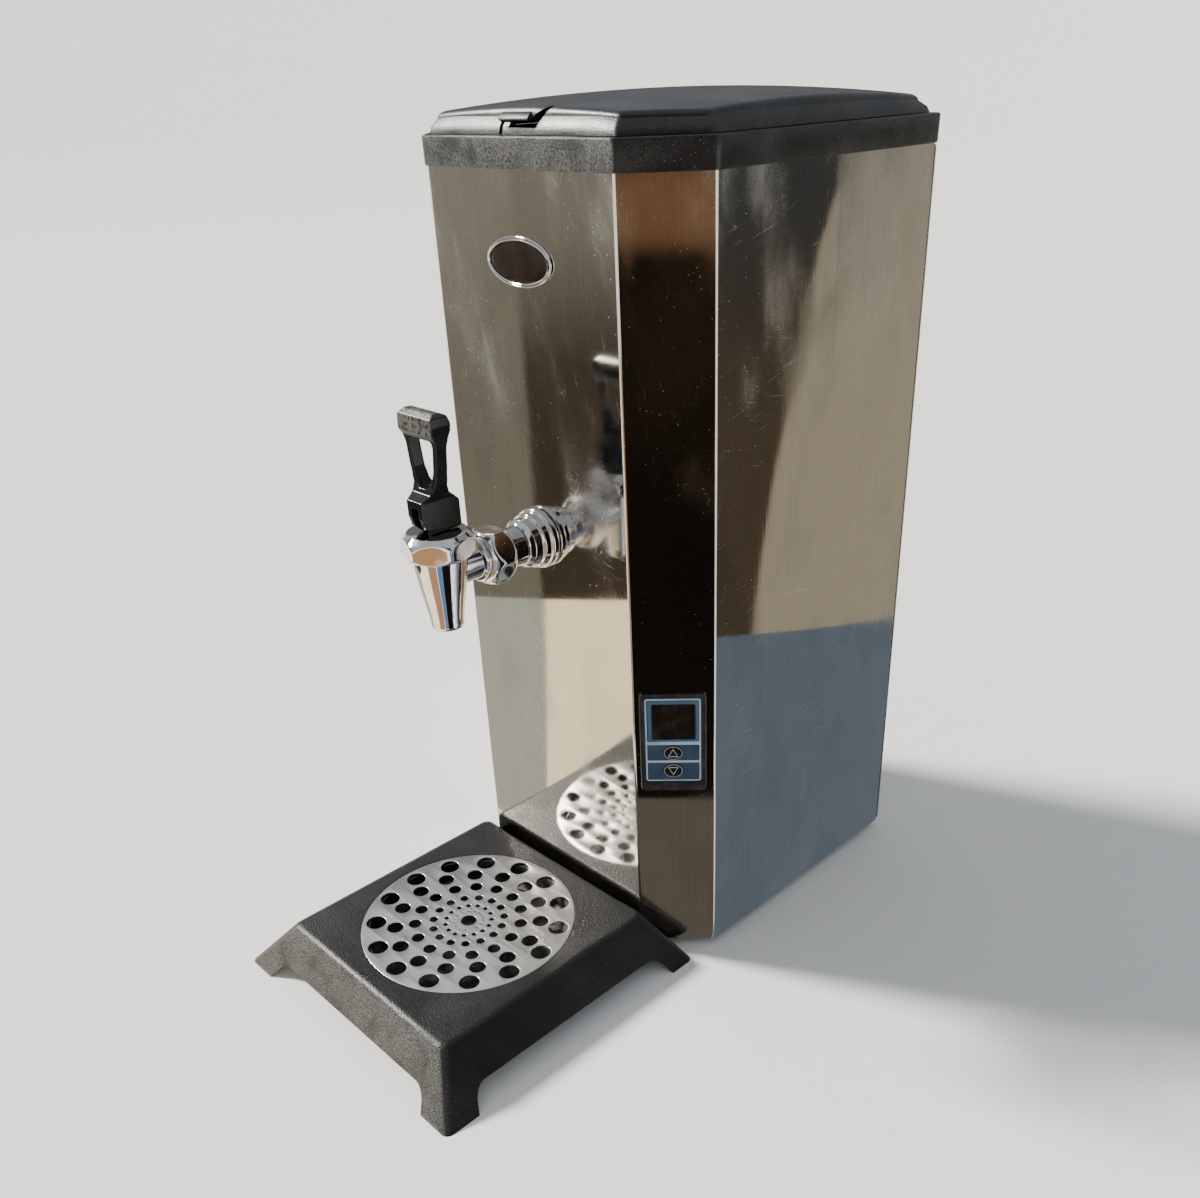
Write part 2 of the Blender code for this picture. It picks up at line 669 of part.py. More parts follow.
def stem_spring():
    """Coil between the seat cup and the bonnet."""
    turns = 4
    per_turn = 10
    low = 0.0031
    high = 0.0177
    points = []
    for i in range(turns * per_turn + 1):
        a = 2 * pi * i / per_turn
        z = TAP_Z + low + (high - low) * i / (turns * per_turn)
        points.append((0.0058 * cos(a), TAP_Y + 0.0058 * sin(a), z))
    return tube("stem_spring", points, 0.0006, STAINLESS)


def shank_parts():
    """The threaded pipe through the cabinet's face and what is stacked on it."""
    profile = [(0.0048, 0.0355), (NECK_RADIUS, 0.0355), (NECK_RADIUS, 0.0280), (0.0110, 0.0277),
               (0.0112, 0.0180), (0.0070, 0.0180), (0.0070, -0.0280), (0.0048, -0.0280)]
    turned("tap_shank", profile, SHANK, CHROME)
    flange = [(0.0074, 0.0177), (0.0118, 0.0177), (0.0134, 0.0160), (0.0138, 0.0145),
              (0.0138, 0.0100), (0.0152, 0.0090), (0.0155, 0.0080), (0.0155, 0.0054),
              (0.0166, 0.0047), (0.0172, 0.0036), (0.0172, 0.0016), (0.0166, GAP),
              (0.0074, GAP)]
    turned("tap_collar", flange, SHANK, CHROME, 32)
    hex_nut("coupling_nut", 0.0290, 0.0099, 0.0280, 0.0440, SHANK, CHROME, 0.0)
    ring("neck_ring", 0.0122, 0.0099, 0.0443, 0.0472, SHANK, CHROME, 28, 0.0012)
    ring("shank_seal", 0.0130, 0.0073, -0.0033, -0.0013, SHANK, RUBBER, 28)
    hex_nut("shank_locknut", 0.0240, 0.0073, -0.0096, -0.0036, SHANK, BRASS)
    ring("outlet_hose", 0.0096, 0.0073, -0.0405, -0.0120, SHANK, SILICONE, 24)


HANDLE_SIDE = [(-0.0062, 0.0242), (0.0108, 0.0242), (0.0122, 0.0256), (0.0122, 0.0392),
               (0.0095, 0.0414), (0.0058, 0.0442), (0.0040, 0.0485), (0.0036, 0.0540),
               (0.0036, 0.0690), (0.0046, 0.0735), (0.0060, 0.0765), (0.0062, 0.0800),
               (0.0050, 0.0835), (0.0018, 0.0862), (-0.0022, 0.0862), (-0.0052, 0.0838),
               (-0.0060, 0.0820), (-0.0060, 0.0750), (-0.0044, 0.0735), (-0.0036, 0.0690),
               (-0.0036, 0.0540), (-0.0042, 0.0490), (-0.0066, 0.0452), (-0.0118, 0.0414),
               (-0.0118, 0.0335), (-0.0104, 0.0282)]
HANDLE_HALF_FRONT = [(0.0062, 0.0242), (0.0062, 0.0414), (0.0076, 0.0450), (0.0094, 0.0500),
                     (0.0112, 0.0580), (0.0124, 0.0680), (0.0134, 0.0740), (0.0142, 0.0790),
                     (0.0140, 0.0825), (0.0124, 0.0855), (0.0100, 0.0865)]
HANDLE_HALF_LOOP = [(0.0030, 0.0472), (0.0062, 0.0500), (0.0084, 0.0560), (0.0098, 0.0660),
                    (0.0104, 0.0728)]


def mirrored(half):
    """Closed outline from its right half, which runs from bottom to top."""
    return half + [(-x, z) for x, z in reversed(half)]


def tap_handle():
    """Looped lever: where a side outline and a front outline cross, with a fork below."""
    lever = plate("tap_handle", [HANDLE_SIDE], -0.020, 0.020, GLOSS_BLACK, SPOUT @ SIDE_ON)
    front = plate("handle_front", [mirrored(HANDLE_HALF_FRONT), mirrored(HANDLE_HALF_LOOP)],
                  -0.030, 0.030, GLOSS_BLACK, SPOUT @ FORWARD)
    boolean(lever, front, "INTERSECT")
    cut(lever, box("fork_slot", (0.0062, 0.0400, 0.0181), (0, 0, 0.0295), GLOSS_BLACK, 0.0, SPOUT))
    pin_line = at(0, TAP_Y, PIN_Z) @ ALONG_X
    cut(lever, rod("handle_pin_bore", 0.0017, -0.01, 0.01, pin_line, GLOSS_BLACK))
    move_origin(lever, (0, TAP_Y, PIN_Z))
    rod("handle_pin", 0.0014, -0.0058, 0.0058, pin_line, STAINLESS)
    return lever


# ---------------------------------------------------------------- tank and plumbing

ELEMENT_X = 0.022
ELEMENT_RADIUS = 0.0040
STUB_X = -0.048


def tank():
    """Open vessel with a rolled rim, an outlet in line with the tap and ports below."""
    outer, inner = TANK_RADIUS, TANK_RADIUS - TANK_WALL
    rim = outer + 0.0045
    profile = [(inner, TANK_HEIGHT), (rim, TANK_HEIGHT), (rim, TANK_HEIGHT - TANK_WALL),
               (outer, TANK_HEIGHT - TANK_WALL), (outer, 0.0), (0.0, 0.0), (0.0, TANK_WALL),
               (inner, TANK_WALL)]
    facet_turn = Matrix.Rotation(radians(5), 4, "Z")
    vessel = turned("tank", profile, at(0, TANK_Y, TANK_Z) @ facet_turn, STAINLESS, 36)
    wall_reach = TANK_CENTRE - TANK_RADIUS
    join(vessel, rod("outlet_stub", 0.0070, -wall_reach - 0.0030, -0.0310, SHANK, STAINLESS))
    cut(vessel, rod("outlet_bore", 0.0055, -wall_reach - 0.0060, -0.0200, SHANK, STAINLESS))
    join(vessel, rod("fill_stub", 0.0045, -0.0100, 0.0006, at(STUB_X, TANK_Y, TANK_Z), STAINLESS))
    cut(vessel, rod("fill_bore", 0.0030, -0.0200, 0.0060, at(STUB_X, TANK_Y, TANK_Z), STAINLESS))
    for x in (-ELEMENT_X, ELEMENT_X):
        cut(vessel, rod("element_port", ELEMENT_RADIUS + GAP, -0.01, 0.01,
                        at(x, TANK_Y, TANK_Z), STAINLESS))
    return vessel


def tank_top():
    """Gasket and cover plate, with the two probes that hang through the cover."""
    rim = TANK_RADIUS + 0.0045
    place = at(0, TANK_Y, TANK_TOP)
    ring("tank_gasket", rim, TANK_RADIUS - 0.004, GAP, 0.0020, place, SILICONE, 36)
    cover = plate("tank_lid", [circle((0, 0), rim, 36), circle((0.030, -0.02), 0.0036, 12),
                               circle((-0.030, -0.02), 0.0036, 12)],
                  0.0023, 0.0038, STAINLESS, place)
    for name, x, depth in (("temperature_probe", 0.030, 0.130), ("level_probe", -0.030, 0.030)):
        profile = [(0.0, 0.0160), (0.0050, 0.0160), (0.0062, 0.0120), (0.0062, 0.0041),
                   (0.0032, 0.0041), (0.0032, -depth + 0.002), (0.0020, -depth), (0.0, -depth)]
        turned(name, profile, place @ at(x, -0.02, 0), STAINLESS, 16)
    return cover


def tank_shelf():
    """Shelf across the cabinet that the tank stands on."""
    outline = held_back(cabinet_outline(-SHEET - 0.0009), REAR_PANEL_Y - SHEET - 0.0009)
    hole = circle((0, TANK_Y), 0.060, 28)
    high = TANK_Z - GAP
    return plate("tank_shelf", [outline, hole], high - 0.0015, high, STAINLESS)


def heating_element():
    """Hairpin tube: two legs up through the tank's floor and a loop lying above it."""
    bend = 0.008
    level = TANK_Z + 0.020
    leg_low = TANK_Z - 0.018
    run_end = TANK_Y + 0.030
    rise = [(TANK_Y + bend - bend * cos(radians(a)), level - bend + bend * sin(radians(a)))
            for a in (0, 22, 45, 68, 90)]
    right = [(ELEMENT_X, TANK_Y, leg_low)] + [(ELEMENT_X, y, z) for y, z in rise]
    loop = [(x, y, level) for x, y in arc((0, run_end), ELEMENT_X, 0, 180, 14)]
    left = [(-x, y, z) for x, y, z in reversed(right)]
    tube("heating_element", right + loop + left, ELEMENT_RADIUS, STAINLESS, 3)
    for name, x in (("left", -ELEMENT_X), ("right", ELEMENT_X)):
        hex_nut("element_nut_" + name, 0.014, ELEMENT_RADIUS + GAP, -0.0080, -GAP,
                at(x, TANK_Y, TANK_Z), BRASS)


def inlet_valve():
    """Threaded water inlet through the rear panel, with its coil, nut and fill hose."""
    x, z = INLET_PLACE
    place = at(x, REAR_Y, z) @ BACKWARD
    profile = [(0.0095, INLET_REACH), (0.0124, INLET_REACH), (0.0132, INLET_REACH - 0.0010),
               (0.0132, -0.0020), (0.0170, -0.0020), (0.0170, -0.0060), (0.0110, -0.0060),
               (0.0110, -0.0300), (0.0050, -0.0300), (0.0050, -0.0400), (0.0, -0.0400),
               (0.0, 0.0060), (0.0095, 0.0060)]
    turned("inlet_valve", profile, place, GLOSS_BLACK)
    hex_nut("inlet_locknut", 0.0320, 0.0135, GAP, 0.0060, place, BRASS)
    coil_y = REAR_Y - 0.0200
    rod("valve_coil", 0.0130, 0.0115, 0.0400, at(x, coil_y, z), GLOSS_BLACK, 28, 0.001)
    hose_y = REAR_Y - 0.0403
    stub_z = TANK_Z - 0.0103
    bend = 0.030
    corner = (hose_y - 0.012 - bend, z + bend)
    first = [(x, corner[0] - bend * cos(radians(a)) + bend, corner[1] - bend * sin(radians(a)))
             for a in (90, 68, 45, 22, 0)]
    up_y = first[-1][1]
    points = [(x, hose_y, z)] + first
    sweep = 10
    for i in range(1, sweep + 1):
        share = i / sweep
        ease = (1 - cos(pi * share)) / 2
        points.append((x + (STUB_X - x) * ease, up_y + (TANK_Y - up_y) * ease,
                       z + bend + (stub_z - z - bend) * share))
    tube("fill_hose", points, 0.0055, SILICONE)


def electrics():
    """Cut-out on the tank's back, terminal block, and the gland that the cord comes out of."""
    tank_back = TANK_Y + TANK_RADIUS + GAP
    cut_out = [(0.0, 0.0110), (0.0020, 0.0110), (0.0020, 0.0080), (0.0080, 0.0080),
               (0.0080, 0.0010), (0.0060, 0.0), (0.0, 0.0)]
    turned("thermal_cutout", cut_out, at(0, tank_back, TANK_Z + 0.085) @ BACKWARD, GLOSS_BLACK, 24)
    base_top = FOOT_HEIGHT + 0.0018 + GAP
    box("terminal_block", (0.045, 0.022, 0.018),
        (0.030, REAR_Y - 0.045, base_top + 0.009), BLACK_PLASTIC, 0.001)
    x, z = GLAND_PLACE
    place = at(x, REAR_Y, z) @ BACKWARD
    gland = [(0.0040, 0.0200), (0.0075, 0.0200), (0.0092, 0.0175), (0.0100, 0.0075),
             (0.0115, 0.0065), (0.0115, GAP), (0.0080, GAP), (0.0080, -0.0120),
             (0.0040, -0.0120)]
    turned("cable_gland", gland, place, GLOSS_BLACK, 28)
    hex_nut("gland_nut", 0.0210, 0.0083, -0.0060, -SHEET - GAP, place, GLOSS_BLACK)


# ---------------------------------------------------------------- drip tray and grid

TRAY_REAR = 0.0125
SIDE_ARCH_HEIGHT = 0.0112
GRID_THICKNESS = 0.0012
GRID_TOP = TRAY_TOP_HEIGHT - 0.0002
SEAT_RADIUS = GRID_RADIUS + 0.0004
BOWL_RADIUS = 0.0610
BOWL_FLOOR = 0.0135
# Rings of holes: ring radius, hole radius, angle of the first hole, corners
HOLES_PER_RING = 15
GRID_RINGS = [(0.0572, 0.0061, 10.4, 10), (0.0450, 0.0050, 16.7, 8), (0.0330, 0.0039, 13.3, 8),
              (0.0221, 0.0026, 4.9, 6), (0.0143, 0.0015, -1.4, 6)]


def tray_outline(share):
    """Plan of the splayed skirt, from the top (0) to the feet (1), anticlockwise."""
    def between(top, foot):
        return top + (foot - top) * share

    half = between(TRAY_TOP_HALF_WIDTH, TRAY_FOOT_HALF_WIDTH)
    front = FACE_Y - between(TRAY_TOP_FRONT, TRAY_REACH)
    rear = FACE_Y + between(-TRAY_GAP, TRAY_REAR)
    radius = between(0.0055, 0.0045)
    heel = between(-TRAY_GAP, -0.0035)
    heel_x = between(0.0560, 0.0680)
    inner = half - between(0.0110, 0.0100)
    corners = []
    corners += arc((half - radius, front + radius), radius, -90, 0, 4)
    corners += arc((half - radius, rear - radius), radius, 0, 90, 4)
    corners += [(inner, rear), (heel_x, FACE_Y + heel)]
    left = [(-x, y) for x, y in reversed(corners)]
    return corners + left


def drip_tray():
    """Moulded tray on four splayed feet, with a seat for the grid and a shallow bowl."""
    top = [Vector((x, y, TRAY_TOP_HEIGHT)) for x, y in tray_outline(0)]
    past_foot = 1.03
    low = TRAY_TOP_HEIGHT * (1 - past_foot)
    foot = [Vector((x, y, low)) for x, y in tray_outline(past_foot)]
    bm = bmesh.new()
    above = [bm.verts.new(p) for p in top]
    below = [bm.verts.new(p) for p in foot]
    bm.faces.new(above)
    for i in range(len(above)):
        k = (i + 1) % len(above)
        bm.faces.new((below[i], below[k], above[k], above[i]))
    bmesh.ops.recalc_face_normals(bm, faces=bm.faces)
    mesh = bpy.data.meshes.new("drip_tray")
    bm.to_mesh(mesh)
    bm.free()
    tray = add_part("drip_tray", mesh, BLACK_PLASTIC)
    thick = tray.modifiers.new("wall", "SOLIDIFY")
    thick.thickness = TRAY_WALL
    thick.offset = -1.0
    thick.use_even_offset = True
    side_arch = box("side_arch", (0.30, 0.1440, 0.0200),
                    (0, FACE_Y - 0.0815, SIDE_ARCH_HEIGHT - 0.0100), BLACK_PLASTIC, 0.006)
    front_arch = box("front_arch", (0.1500, 0.30, 0.0200),
                     (0, FACE_Y - 0.1500, SIDE_ARCH_HEIGHT - 0.0100), BLACK_PLASTIC, 0.006)
    ground = box("ground", (0.4, 0.4, 0.0200), (0, FACE_Y - 0.0800, -0.0100), BLACK_PLASTIC)
    cut(tray, side_arch, front_arch, ground)
    inner = BOWL_RADIUS
    outer = inner + 0.0020
    floor = BOWL_FLOOR
    under = floor - 0.0020
    rim = TRAY_TOP_HEIGHT - 0.0010
    place = at(0, GRID_Y, 0)
    bowl = [(0.0, rim), (outer, rim), (outer, under + 0.0030), (outer - 0.0040, under),
            (0.0, under - 0.0010)]
    join(tray, turned("bowl", bowl, place, BLACK_PLASTIC, 48))
    ledge = GRID_TOP - GRID_THICKNESS - 2 * GAP
    past = TRAY_TOP_HEIGHT + 0.0100
    hollow = [(0.0, past), (SEAT_RADIUS, past), (SEAT_RADIUS, ledge), (inner, ledge),
              (inner, floor + 0.0030), (inner - 0.0040, floor), (0.0, floor - 0.0010)]
    cut(tray, turned("bowl_inside", hollow, place, BLACK_PLASTIC, 48))
    move_origin(tray, (0, GRID_Y, 0))
    return tray


def drip_grid():
    """Perforated disc, slightly dished so that drips run to the middle."""
    outlines = [circle((0, 0), GRID_RADIUS, 48), circle((0, 0), 0.0049, 10)]
    for radius, hole, start, corners in GRID_RINGS:
        for i in range(HOLES_PER_RING):
            a = radians(start + 360 * i / HOLES_PER_RING)
            outlines.append(circle((radius * cos(a), radius * sin(a)), hole, corners))
    grid = plate("drip_grid", outlines, -GRID_THICKNESS, 0.0, STAINLESS, at(0, GRID_Y, GRID_TOP))
    dish = 0.0015
    for vertex in grid.data.vertices:
        share = hypot(vertex.co.x, vertex.co.y) / GRID_RADIUS
        vertex.co.z -= dish * (1 - share * share)
    return grid


# ---------------------------------------------------------------- assembly

def build():
    cabinet_shell()
    rear_panel()
    rear_screws()
    base_plate()
    feet()
    lid_collar()
    lid()
    lid_pins()
    badge()
    display_panel()
    tap_body()
    tap_bonnet()
    valve_stem()
    seat_cup()
    stem_spring()
    shank_parts()
    tap_handle()
    tank()
    tank_top()
    tank_shelf()
    heating_element()
    inlet_valve()
    electrics()
    drip_tray()
    drip_grid()


build()
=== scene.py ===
"""Looks of a countertop hot-water dispenser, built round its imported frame.

Metres, +Z up, with the tap side towards -Y, in the frame's own coordinates.
"""

import json
from math import atan2, ceil, cos, exp, hypot, log, pi, radians, sin, tan

import bmesh
import bpy
from mathutils import Euler, Matrix, Vector


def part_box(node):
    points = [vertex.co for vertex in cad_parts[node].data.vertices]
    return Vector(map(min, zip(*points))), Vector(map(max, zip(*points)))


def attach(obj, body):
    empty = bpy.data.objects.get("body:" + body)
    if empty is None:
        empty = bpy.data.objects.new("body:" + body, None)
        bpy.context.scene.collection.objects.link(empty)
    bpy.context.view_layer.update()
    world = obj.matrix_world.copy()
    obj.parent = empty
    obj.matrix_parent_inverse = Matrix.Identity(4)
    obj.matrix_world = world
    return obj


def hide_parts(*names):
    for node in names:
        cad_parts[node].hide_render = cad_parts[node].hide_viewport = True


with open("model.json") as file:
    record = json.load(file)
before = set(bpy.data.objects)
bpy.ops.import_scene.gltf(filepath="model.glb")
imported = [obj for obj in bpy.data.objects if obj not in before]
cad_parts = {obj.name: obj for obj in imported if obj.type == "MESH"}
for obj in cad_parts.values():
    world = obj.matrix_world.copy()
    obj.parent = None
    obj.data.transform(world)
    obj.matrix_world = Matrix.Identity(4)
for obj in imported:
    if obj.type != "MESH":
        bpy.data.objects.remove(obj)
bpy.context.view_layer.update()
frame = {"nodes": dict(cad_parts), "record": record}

# ---------------------------------------------------------------- places, from the frame

SHELL_LOW, SHELL_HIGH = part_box("cabinet_shell")
PANEL_LOW, PANEL_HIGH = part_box("rear_panel")
LID_LOW, LID_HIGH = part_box("lid")
GRID_LOW, GRID_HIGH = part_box("drip_grid")
TRAY_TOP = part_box("drip_tray")[1].z


def middle(node):
    low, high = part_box(node)
    return (low + high) / 2


FACE_Y = SHELL_LOW.y
REAR_Y = PANEL_HIGH.y
BODY_WIDTH = SHELL_HIGH.x - SHELL_LOW.x
BODY_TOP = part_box("lid_collar")[0].z
FOOT_HEIGHT = SHELL_LOW.z
LID_EDGE_Z = LID_LOW.z
CROWN_TOP = LID_HIGH.z
TAP_Y = middle("tap_bonnet").y
TAP_Z = middle("tap_collar").z
PIN_Z = middle("handle_pin").z
BADGE_Z = middle("badge_rim").z
GRID_Y = middle("drip_grid").y
GRID_TOP = GRID_HIGH.z
HINGE_Y = middle("lid_hinge_pin_left").y
HINGE_Z = middle("lid_hinge_pin_left").z
HINGE_X = (middle("lid_hinge_pin_left").x, middle("lid_hinge_pin_right").x)

# Driving dimensions that the boxes don't give
FRONT_WIDTH = 0.1392
CHAMFER_DEPTH = 0.0316
SHEET = 0.0010
GAP = 0.0003
CHAMFER_TURN = atan2(CHAMFER_DEPTH, (BODY_WIDTH - FRONT_WIDTH) / 2)


def at(x=0.0, y=0.0, z=0.0):
    return Matrix.Translation((x, y, z))


# Rotations that send a piece's own +Z along the named direction
FORWARD = Matrix.Rotation(radians(90), 4, "X")
BACKWARD = Matrix.Rotation(radians(-90), 4, "X")
ALONG_X = Matrix.Rotation(radians(90), 4, "Y")
SIDE_ON = Matrix(((0, 0, 1, 0), (1, 0, 0, 0), (0, 1, 0, 0), (0, 0, 0, 1)))

FACE = at(0, FACE_Y, 0) @ FORWARD
CHAMFER = (at(FRONT_WIDTH / 2, FACE_Y, FOOT_HEIGHT)
           @ Matrix.Rotation(CHAMFER_TURN, 4, "Z") @ FORWARD)
SHANK = at(0, FACE_Y, TAP_Z) @ FORWARD
SPOUT = at(0, TAP_Y, TAP_Z)


# ---------------------------------------------------------------- materials

class Finish:
    """A Principled material whose colour, roughness and bump are layered from noise."""

    def __init__(self, name, colour, roughness, metallic=0.0, **constants):
        self.material = bpy.data.materials.new(name)
        self.material.use_nodes = True
        self.tree = self.material.node_tree
        self.shader = self.tree.nodes["Principled BSDF"]
        self.shader.inputs["Metallic"].default_value = metallic
        for socket, value in constants.items():
            self.shader.inputs[socket.replace("_", " ")].default_value = value
        self.place = self.add("ShaderNodeTexCoord").outputs["Object"]
        self.set("Base Color", (*colour, 1.0))
        self.set("Roughness", roughness)
        self.colour = (*colour, 1.0)
        self.roughness = roughness
        self.normal = None

    def add(self, kind, **settings):
        made = self.tree.nodes.new(kind)
        for key, value in settings.items():
            setattr(made, key, value)
        return made

    def set(self, socket, value):
        self.feed(self.shader.inputs[socket], value)

    def feed(self, socket, value):
        """Link a socket, or give it a plain value."""
        if isinstance(value, bpy.types.NodeSocket):
            self.tree.links.new(value, socket)
        else:
            socket.default_value = value

    def spread(self, value, low, high, amount=1.0):
        """0 below one level and the given amount above another, with a smooth step."""
        step = self.add("ShaderNodeMapRange", interpolation_type="SMOOTHSTEP")
        self.feed(step.inputs["Value"], value)
        step.inputs["From Min"].default_value = low
        step.inputs["From Max"].default_value = high
        step.inputs["To Max"].default_value = amount
        return step.outputs["Result"]

    def noise(self, scale, low=0.35, high=0.65, amount=1.0, stretch=(1, 1, 1),
              turn=(0, 0, 0), detail=3.0, shift=0.0):
        """Patches of noise; a small stretch value draws them out along that turned axis."""
        mapping = self.add("ShaderNodeMapping")
        self.feed(mapping.inputs["Vector"], self.place)
        mapping.inputs["Location"].default_value = (shift, shift * 0.7, shift * 1.3)
        mapping.inputs["Rotation"].default_value = [radians(a) for a in turn]
        stretched = self.add("ShaderNodeVectorMath", operation="MULTIPLY")
        self.feed(stretched.inputs[0], mapping.outputs["Vector"])
        stretched.inputs[1].default_value = stretch
        patches = self.add("ShaderNodeTexNoise")
        self.feed(patches.inputs["Vector"], stretched.outputs["Vector"])
        patches.inputs["Scale"].default_value = scale
        patches.inputs["Detail"].default_value = detail
        return self.spread(patches.outputs["Fac"], low, high, amount)

    def grains(self, scale, size, amount=1.0):
        """Separate round specks on a random grid."""
        cells = self.add("ShaderNodeTexVoronoi")
        self.feed(cells.inputs["Vector"], self.place)
        cells.inputs["Scale"].default_value = scale
        return self.spread(cells.outputs["Distance"], size, size * 0.5, amount)

    def along(self, axis, low, high, amount=1.0):
        """A ramp along one of the piece's own axes, 0 at one place and full at another."""
        parts = self.add("ShaderNodeSeparateXYZ")
        self.feed(parts.inputs["Vector"], self.place)
        return self.spread(parts.outputs[axis], low, high, amount)

    def facing(self, axis, low, high, amount=1.0):
        """A mask of the surfaces that face along one of the piece's own axes."""
        coordinates = self.add("ShaderNodeTexCoord")
        parts = self.add("ShaderNodeSeparateXYZ")
        self.feed(parts.inputs["Vector"], coordinates.outputs["Normal"])
        return self.spread(parts.outputs[axis], low, high, amount)

    def math(self, operation, first, second):
        sums = self.add("ShaderNodeMath", operation=operation)
        self.feed(sums.inputs[0], first)
        self.feed(sums.inputs[1], second)
        return sums.outputs["Value"]

    def both(self, first, second):
        return self.math("MULTIPLY", first, second)

    def mix(self, mask, first, second):
        """One colour where the mask is 0, and another one where it is full."""
        mixer = self.add("ShaderNodeMix", data_type="RGBA")
        for socket, value in ((0, mask), (6, first), (7, second)):
            self.feed(mixer.inputs[socket], value)
        return mixer.outputs[2]

    def tint(self, mask, colour):
        """Blend the base colour towards another one where the mask is high."""
        self.colour = self.mix(mask, self.colour, (*colour, 1.0))
        self.set("Base Color", self.colour)

    def dull(self, mask, change=1.0):
        """Add to the roughness where the mask is high."""
        added = self.both(mask, change) if change != 1.0 else mask
        self.roughness = self.math("ADD", self.roughness, added)
        self.set("Roughness", self.roughness)

    def bump(self, height, depth, strength=1.0):
        relief = self.add("ShaderNodeBump")
        relief.inputs["Strength"].default_value = strength
        relief.inputs["Distance"].default_value = depth
        self.feed(relief.inputs["Height"], height)
        if self.normal is not None:
            self.feed(relief.inputs["Normal"], self.normal)
        self.normal = relief.outputs["Normal"]
        self.set("Normal", self.normal)


def scratches(look, angles, colour, scale=1100, level=0.70, plane="XZ"):
    """Thin short marks at a few angles in a plane, lighter and rougher than the metal."""
    for i, angle in enumerate(angles):
        turn = (0, angle, 0) if plane == "XZ" else (0, 0, angle)
        if plane == "YZ":
            turn = (angle, 0, 0)
        stretch = (1, 0.035, 1) if plane == "XY" else (1, 1, 0.035)
        marks = look.noise(scale + 67 * i, level, level + 0.06, 1.0, stretch, turn,
                           2.0, 3.1 * i + 1.7)
        patches = look.noise(16 + 3 * i, 0.50, 0.62, 0.55, shift=5.3 * i)
        mask = look.both(marks, patches)
        look.tint(mask, colour)
        look.dull(mask, 0.20)


def stainless_sheet():
    """Polished sheet with smears, faint vertical hairlines, scratches and specks."""
    steel = Finish("stainless_sheet", (0.58, 0.555, 0.51), 0.028, 1.0)
    smears = steel.noise(17, 0.47, 0.72, 0.80, stretch=(1, 1, 0.40), turn=(0, 14, 0), detail=8)
    high = steel.math("ADD", steel.along("Z", 0.20, 0.40, 0.80), 0.20)
    smears = steel.both(smears, high)
    steel.tint(smears, (0.74, 0.73, 0.70))
    steel.dull(smears, 0.42)
    steel.dull(steel.noise(6, 0.45, 0.75, 0.04, detail=6, shift=2.0))
    clouds = steel.noise(28, 0.48, 0.66, 0.55, (1, 1, 0.5), (0, -9, 0), 7, 11.0)
    steel.tint(clouds, (0.47, 0.455, 0.43))
    steel.dull(clouds, 0.030)
    hairs = steel.noise(1500, 0.35, 0.70, 1.0, (1, 1, 0.006), detail=3)
    steel.dull(hairs, 0.020)
    steel.tint(steel.both(hairs, 0.20), (0.36, 0.34, 0.31))
    specks = steel.both(steel.grains(230, 0.10), steel.noise(15, 0.46, 0.58, shift=9.0))
    steel.tint(specks, (0.80, 0.79, 0.76))
    steel.dull(specks, 0.25)
    scratches(steel, (9, -27, 44, 81), (0.74, 0.73, 0.70), 1000, 0.66)
    scratches(steel, (62, 75, 100, 24), (0.76, 0.75, 0.72), 900, 0.655, "YZ")
    steel.bump(steel.noise(7, 0.2, 0.8, detail=1.0, shift=4.0), 0.00018, 0.10)
    steel.bump(hairs, 0.000003, 0.5)
    return steel


def stainless_grid():
    steel = Finish("stainless_grid", (0.80, 0.80, 0.78), 0.27, 1.0)
    steel.tint(steel.noise(40, 0.45, 0.75, 0.10, detail=4), (0.60, 0.60, 0.58))
    steel.dull(steel.noise(55, 0.40, 0.70, 0.04, shift=3.0))
    scratches(steel, (10, 57, 103, 148), (0.84, 0.84, 0.82), 1300, 0.72, "XY")
    steel.bump(steel.noise(700, 0.3, 0.7), 0.000004, 0.5)
    return steel


def bright_steel():
    steel = Finish("bright_steel", (0.62, 0.61, 0.59), 0.22, 1.0)
    steel.tint(steel.noise(220, 0.40, 0.70, 0.5), (0.42, 0.41, 0.40))
    steel.dull(steel.noise(320, 0.40, 0.65, 0.12, shift=1.0))
    steel.bump(steel.noise(900, 0.3, 0.7), 0.000005, 0.4)
    return steel


def tank_steel():
    steel = Finish("tank_steel", (0.55, 0.54, 0.52), 0.30, 1.0)
    steel.tint(steel.noise(18, 0.40, 0.70, 0.6, detail=5), (0.40, 0.37, 0.33))
    steel.dull(steel.noise(600, 0.3, 0.7, 0.15, (1, 1, 0.03)))
    steel.bump(steel.noise(600, 0.3, 0.7, 1.0, (1, 1, 0.03)), 0.00001, 0.5)
    return steel


def chrome_plate():
    chrome = Finish("chrome_plate", (0.80, 0.80, 0.80), 0.035, 1.0)
    chrome.tint(chrome.noise(70, 0.50, 0.75, 0.35, detail=4), (0.62, 0.61, 0.59))
    chrome.dull(chrome.noise(90, 0.48, 0.75, 0.14, detail=4, shift=2.0))
    spots = chrome.both(chrome.grains(420, 0.12), chrome.noise(50, 0.50, 0.62, shift=6.0))
    chrome.tint(spots, (0.86, 0.85, 0.82))
    chrome.dull(spots, 0.35)
    chrome.bump(chrome.noise(120, 0.2, 0.8, detail=1.0), 0.00002, 0.4)
    return chrome


def brass_fittings():
    brass = Finish("brass_fittings", (0.62, 0.45, 0.20), 0.32, 1.0)
    brass.tint(brass.noise(90, 0.40, 0.70, 0.6), (0.42, 0.28, 0.12))
    brass.dull(brass.noise(160, 0.40, 0.65, 0.15, shift=1.0))
    brass.bump(brass.noise(700, 0.3, 0.7), 0.00001, 0.4)
    return brass


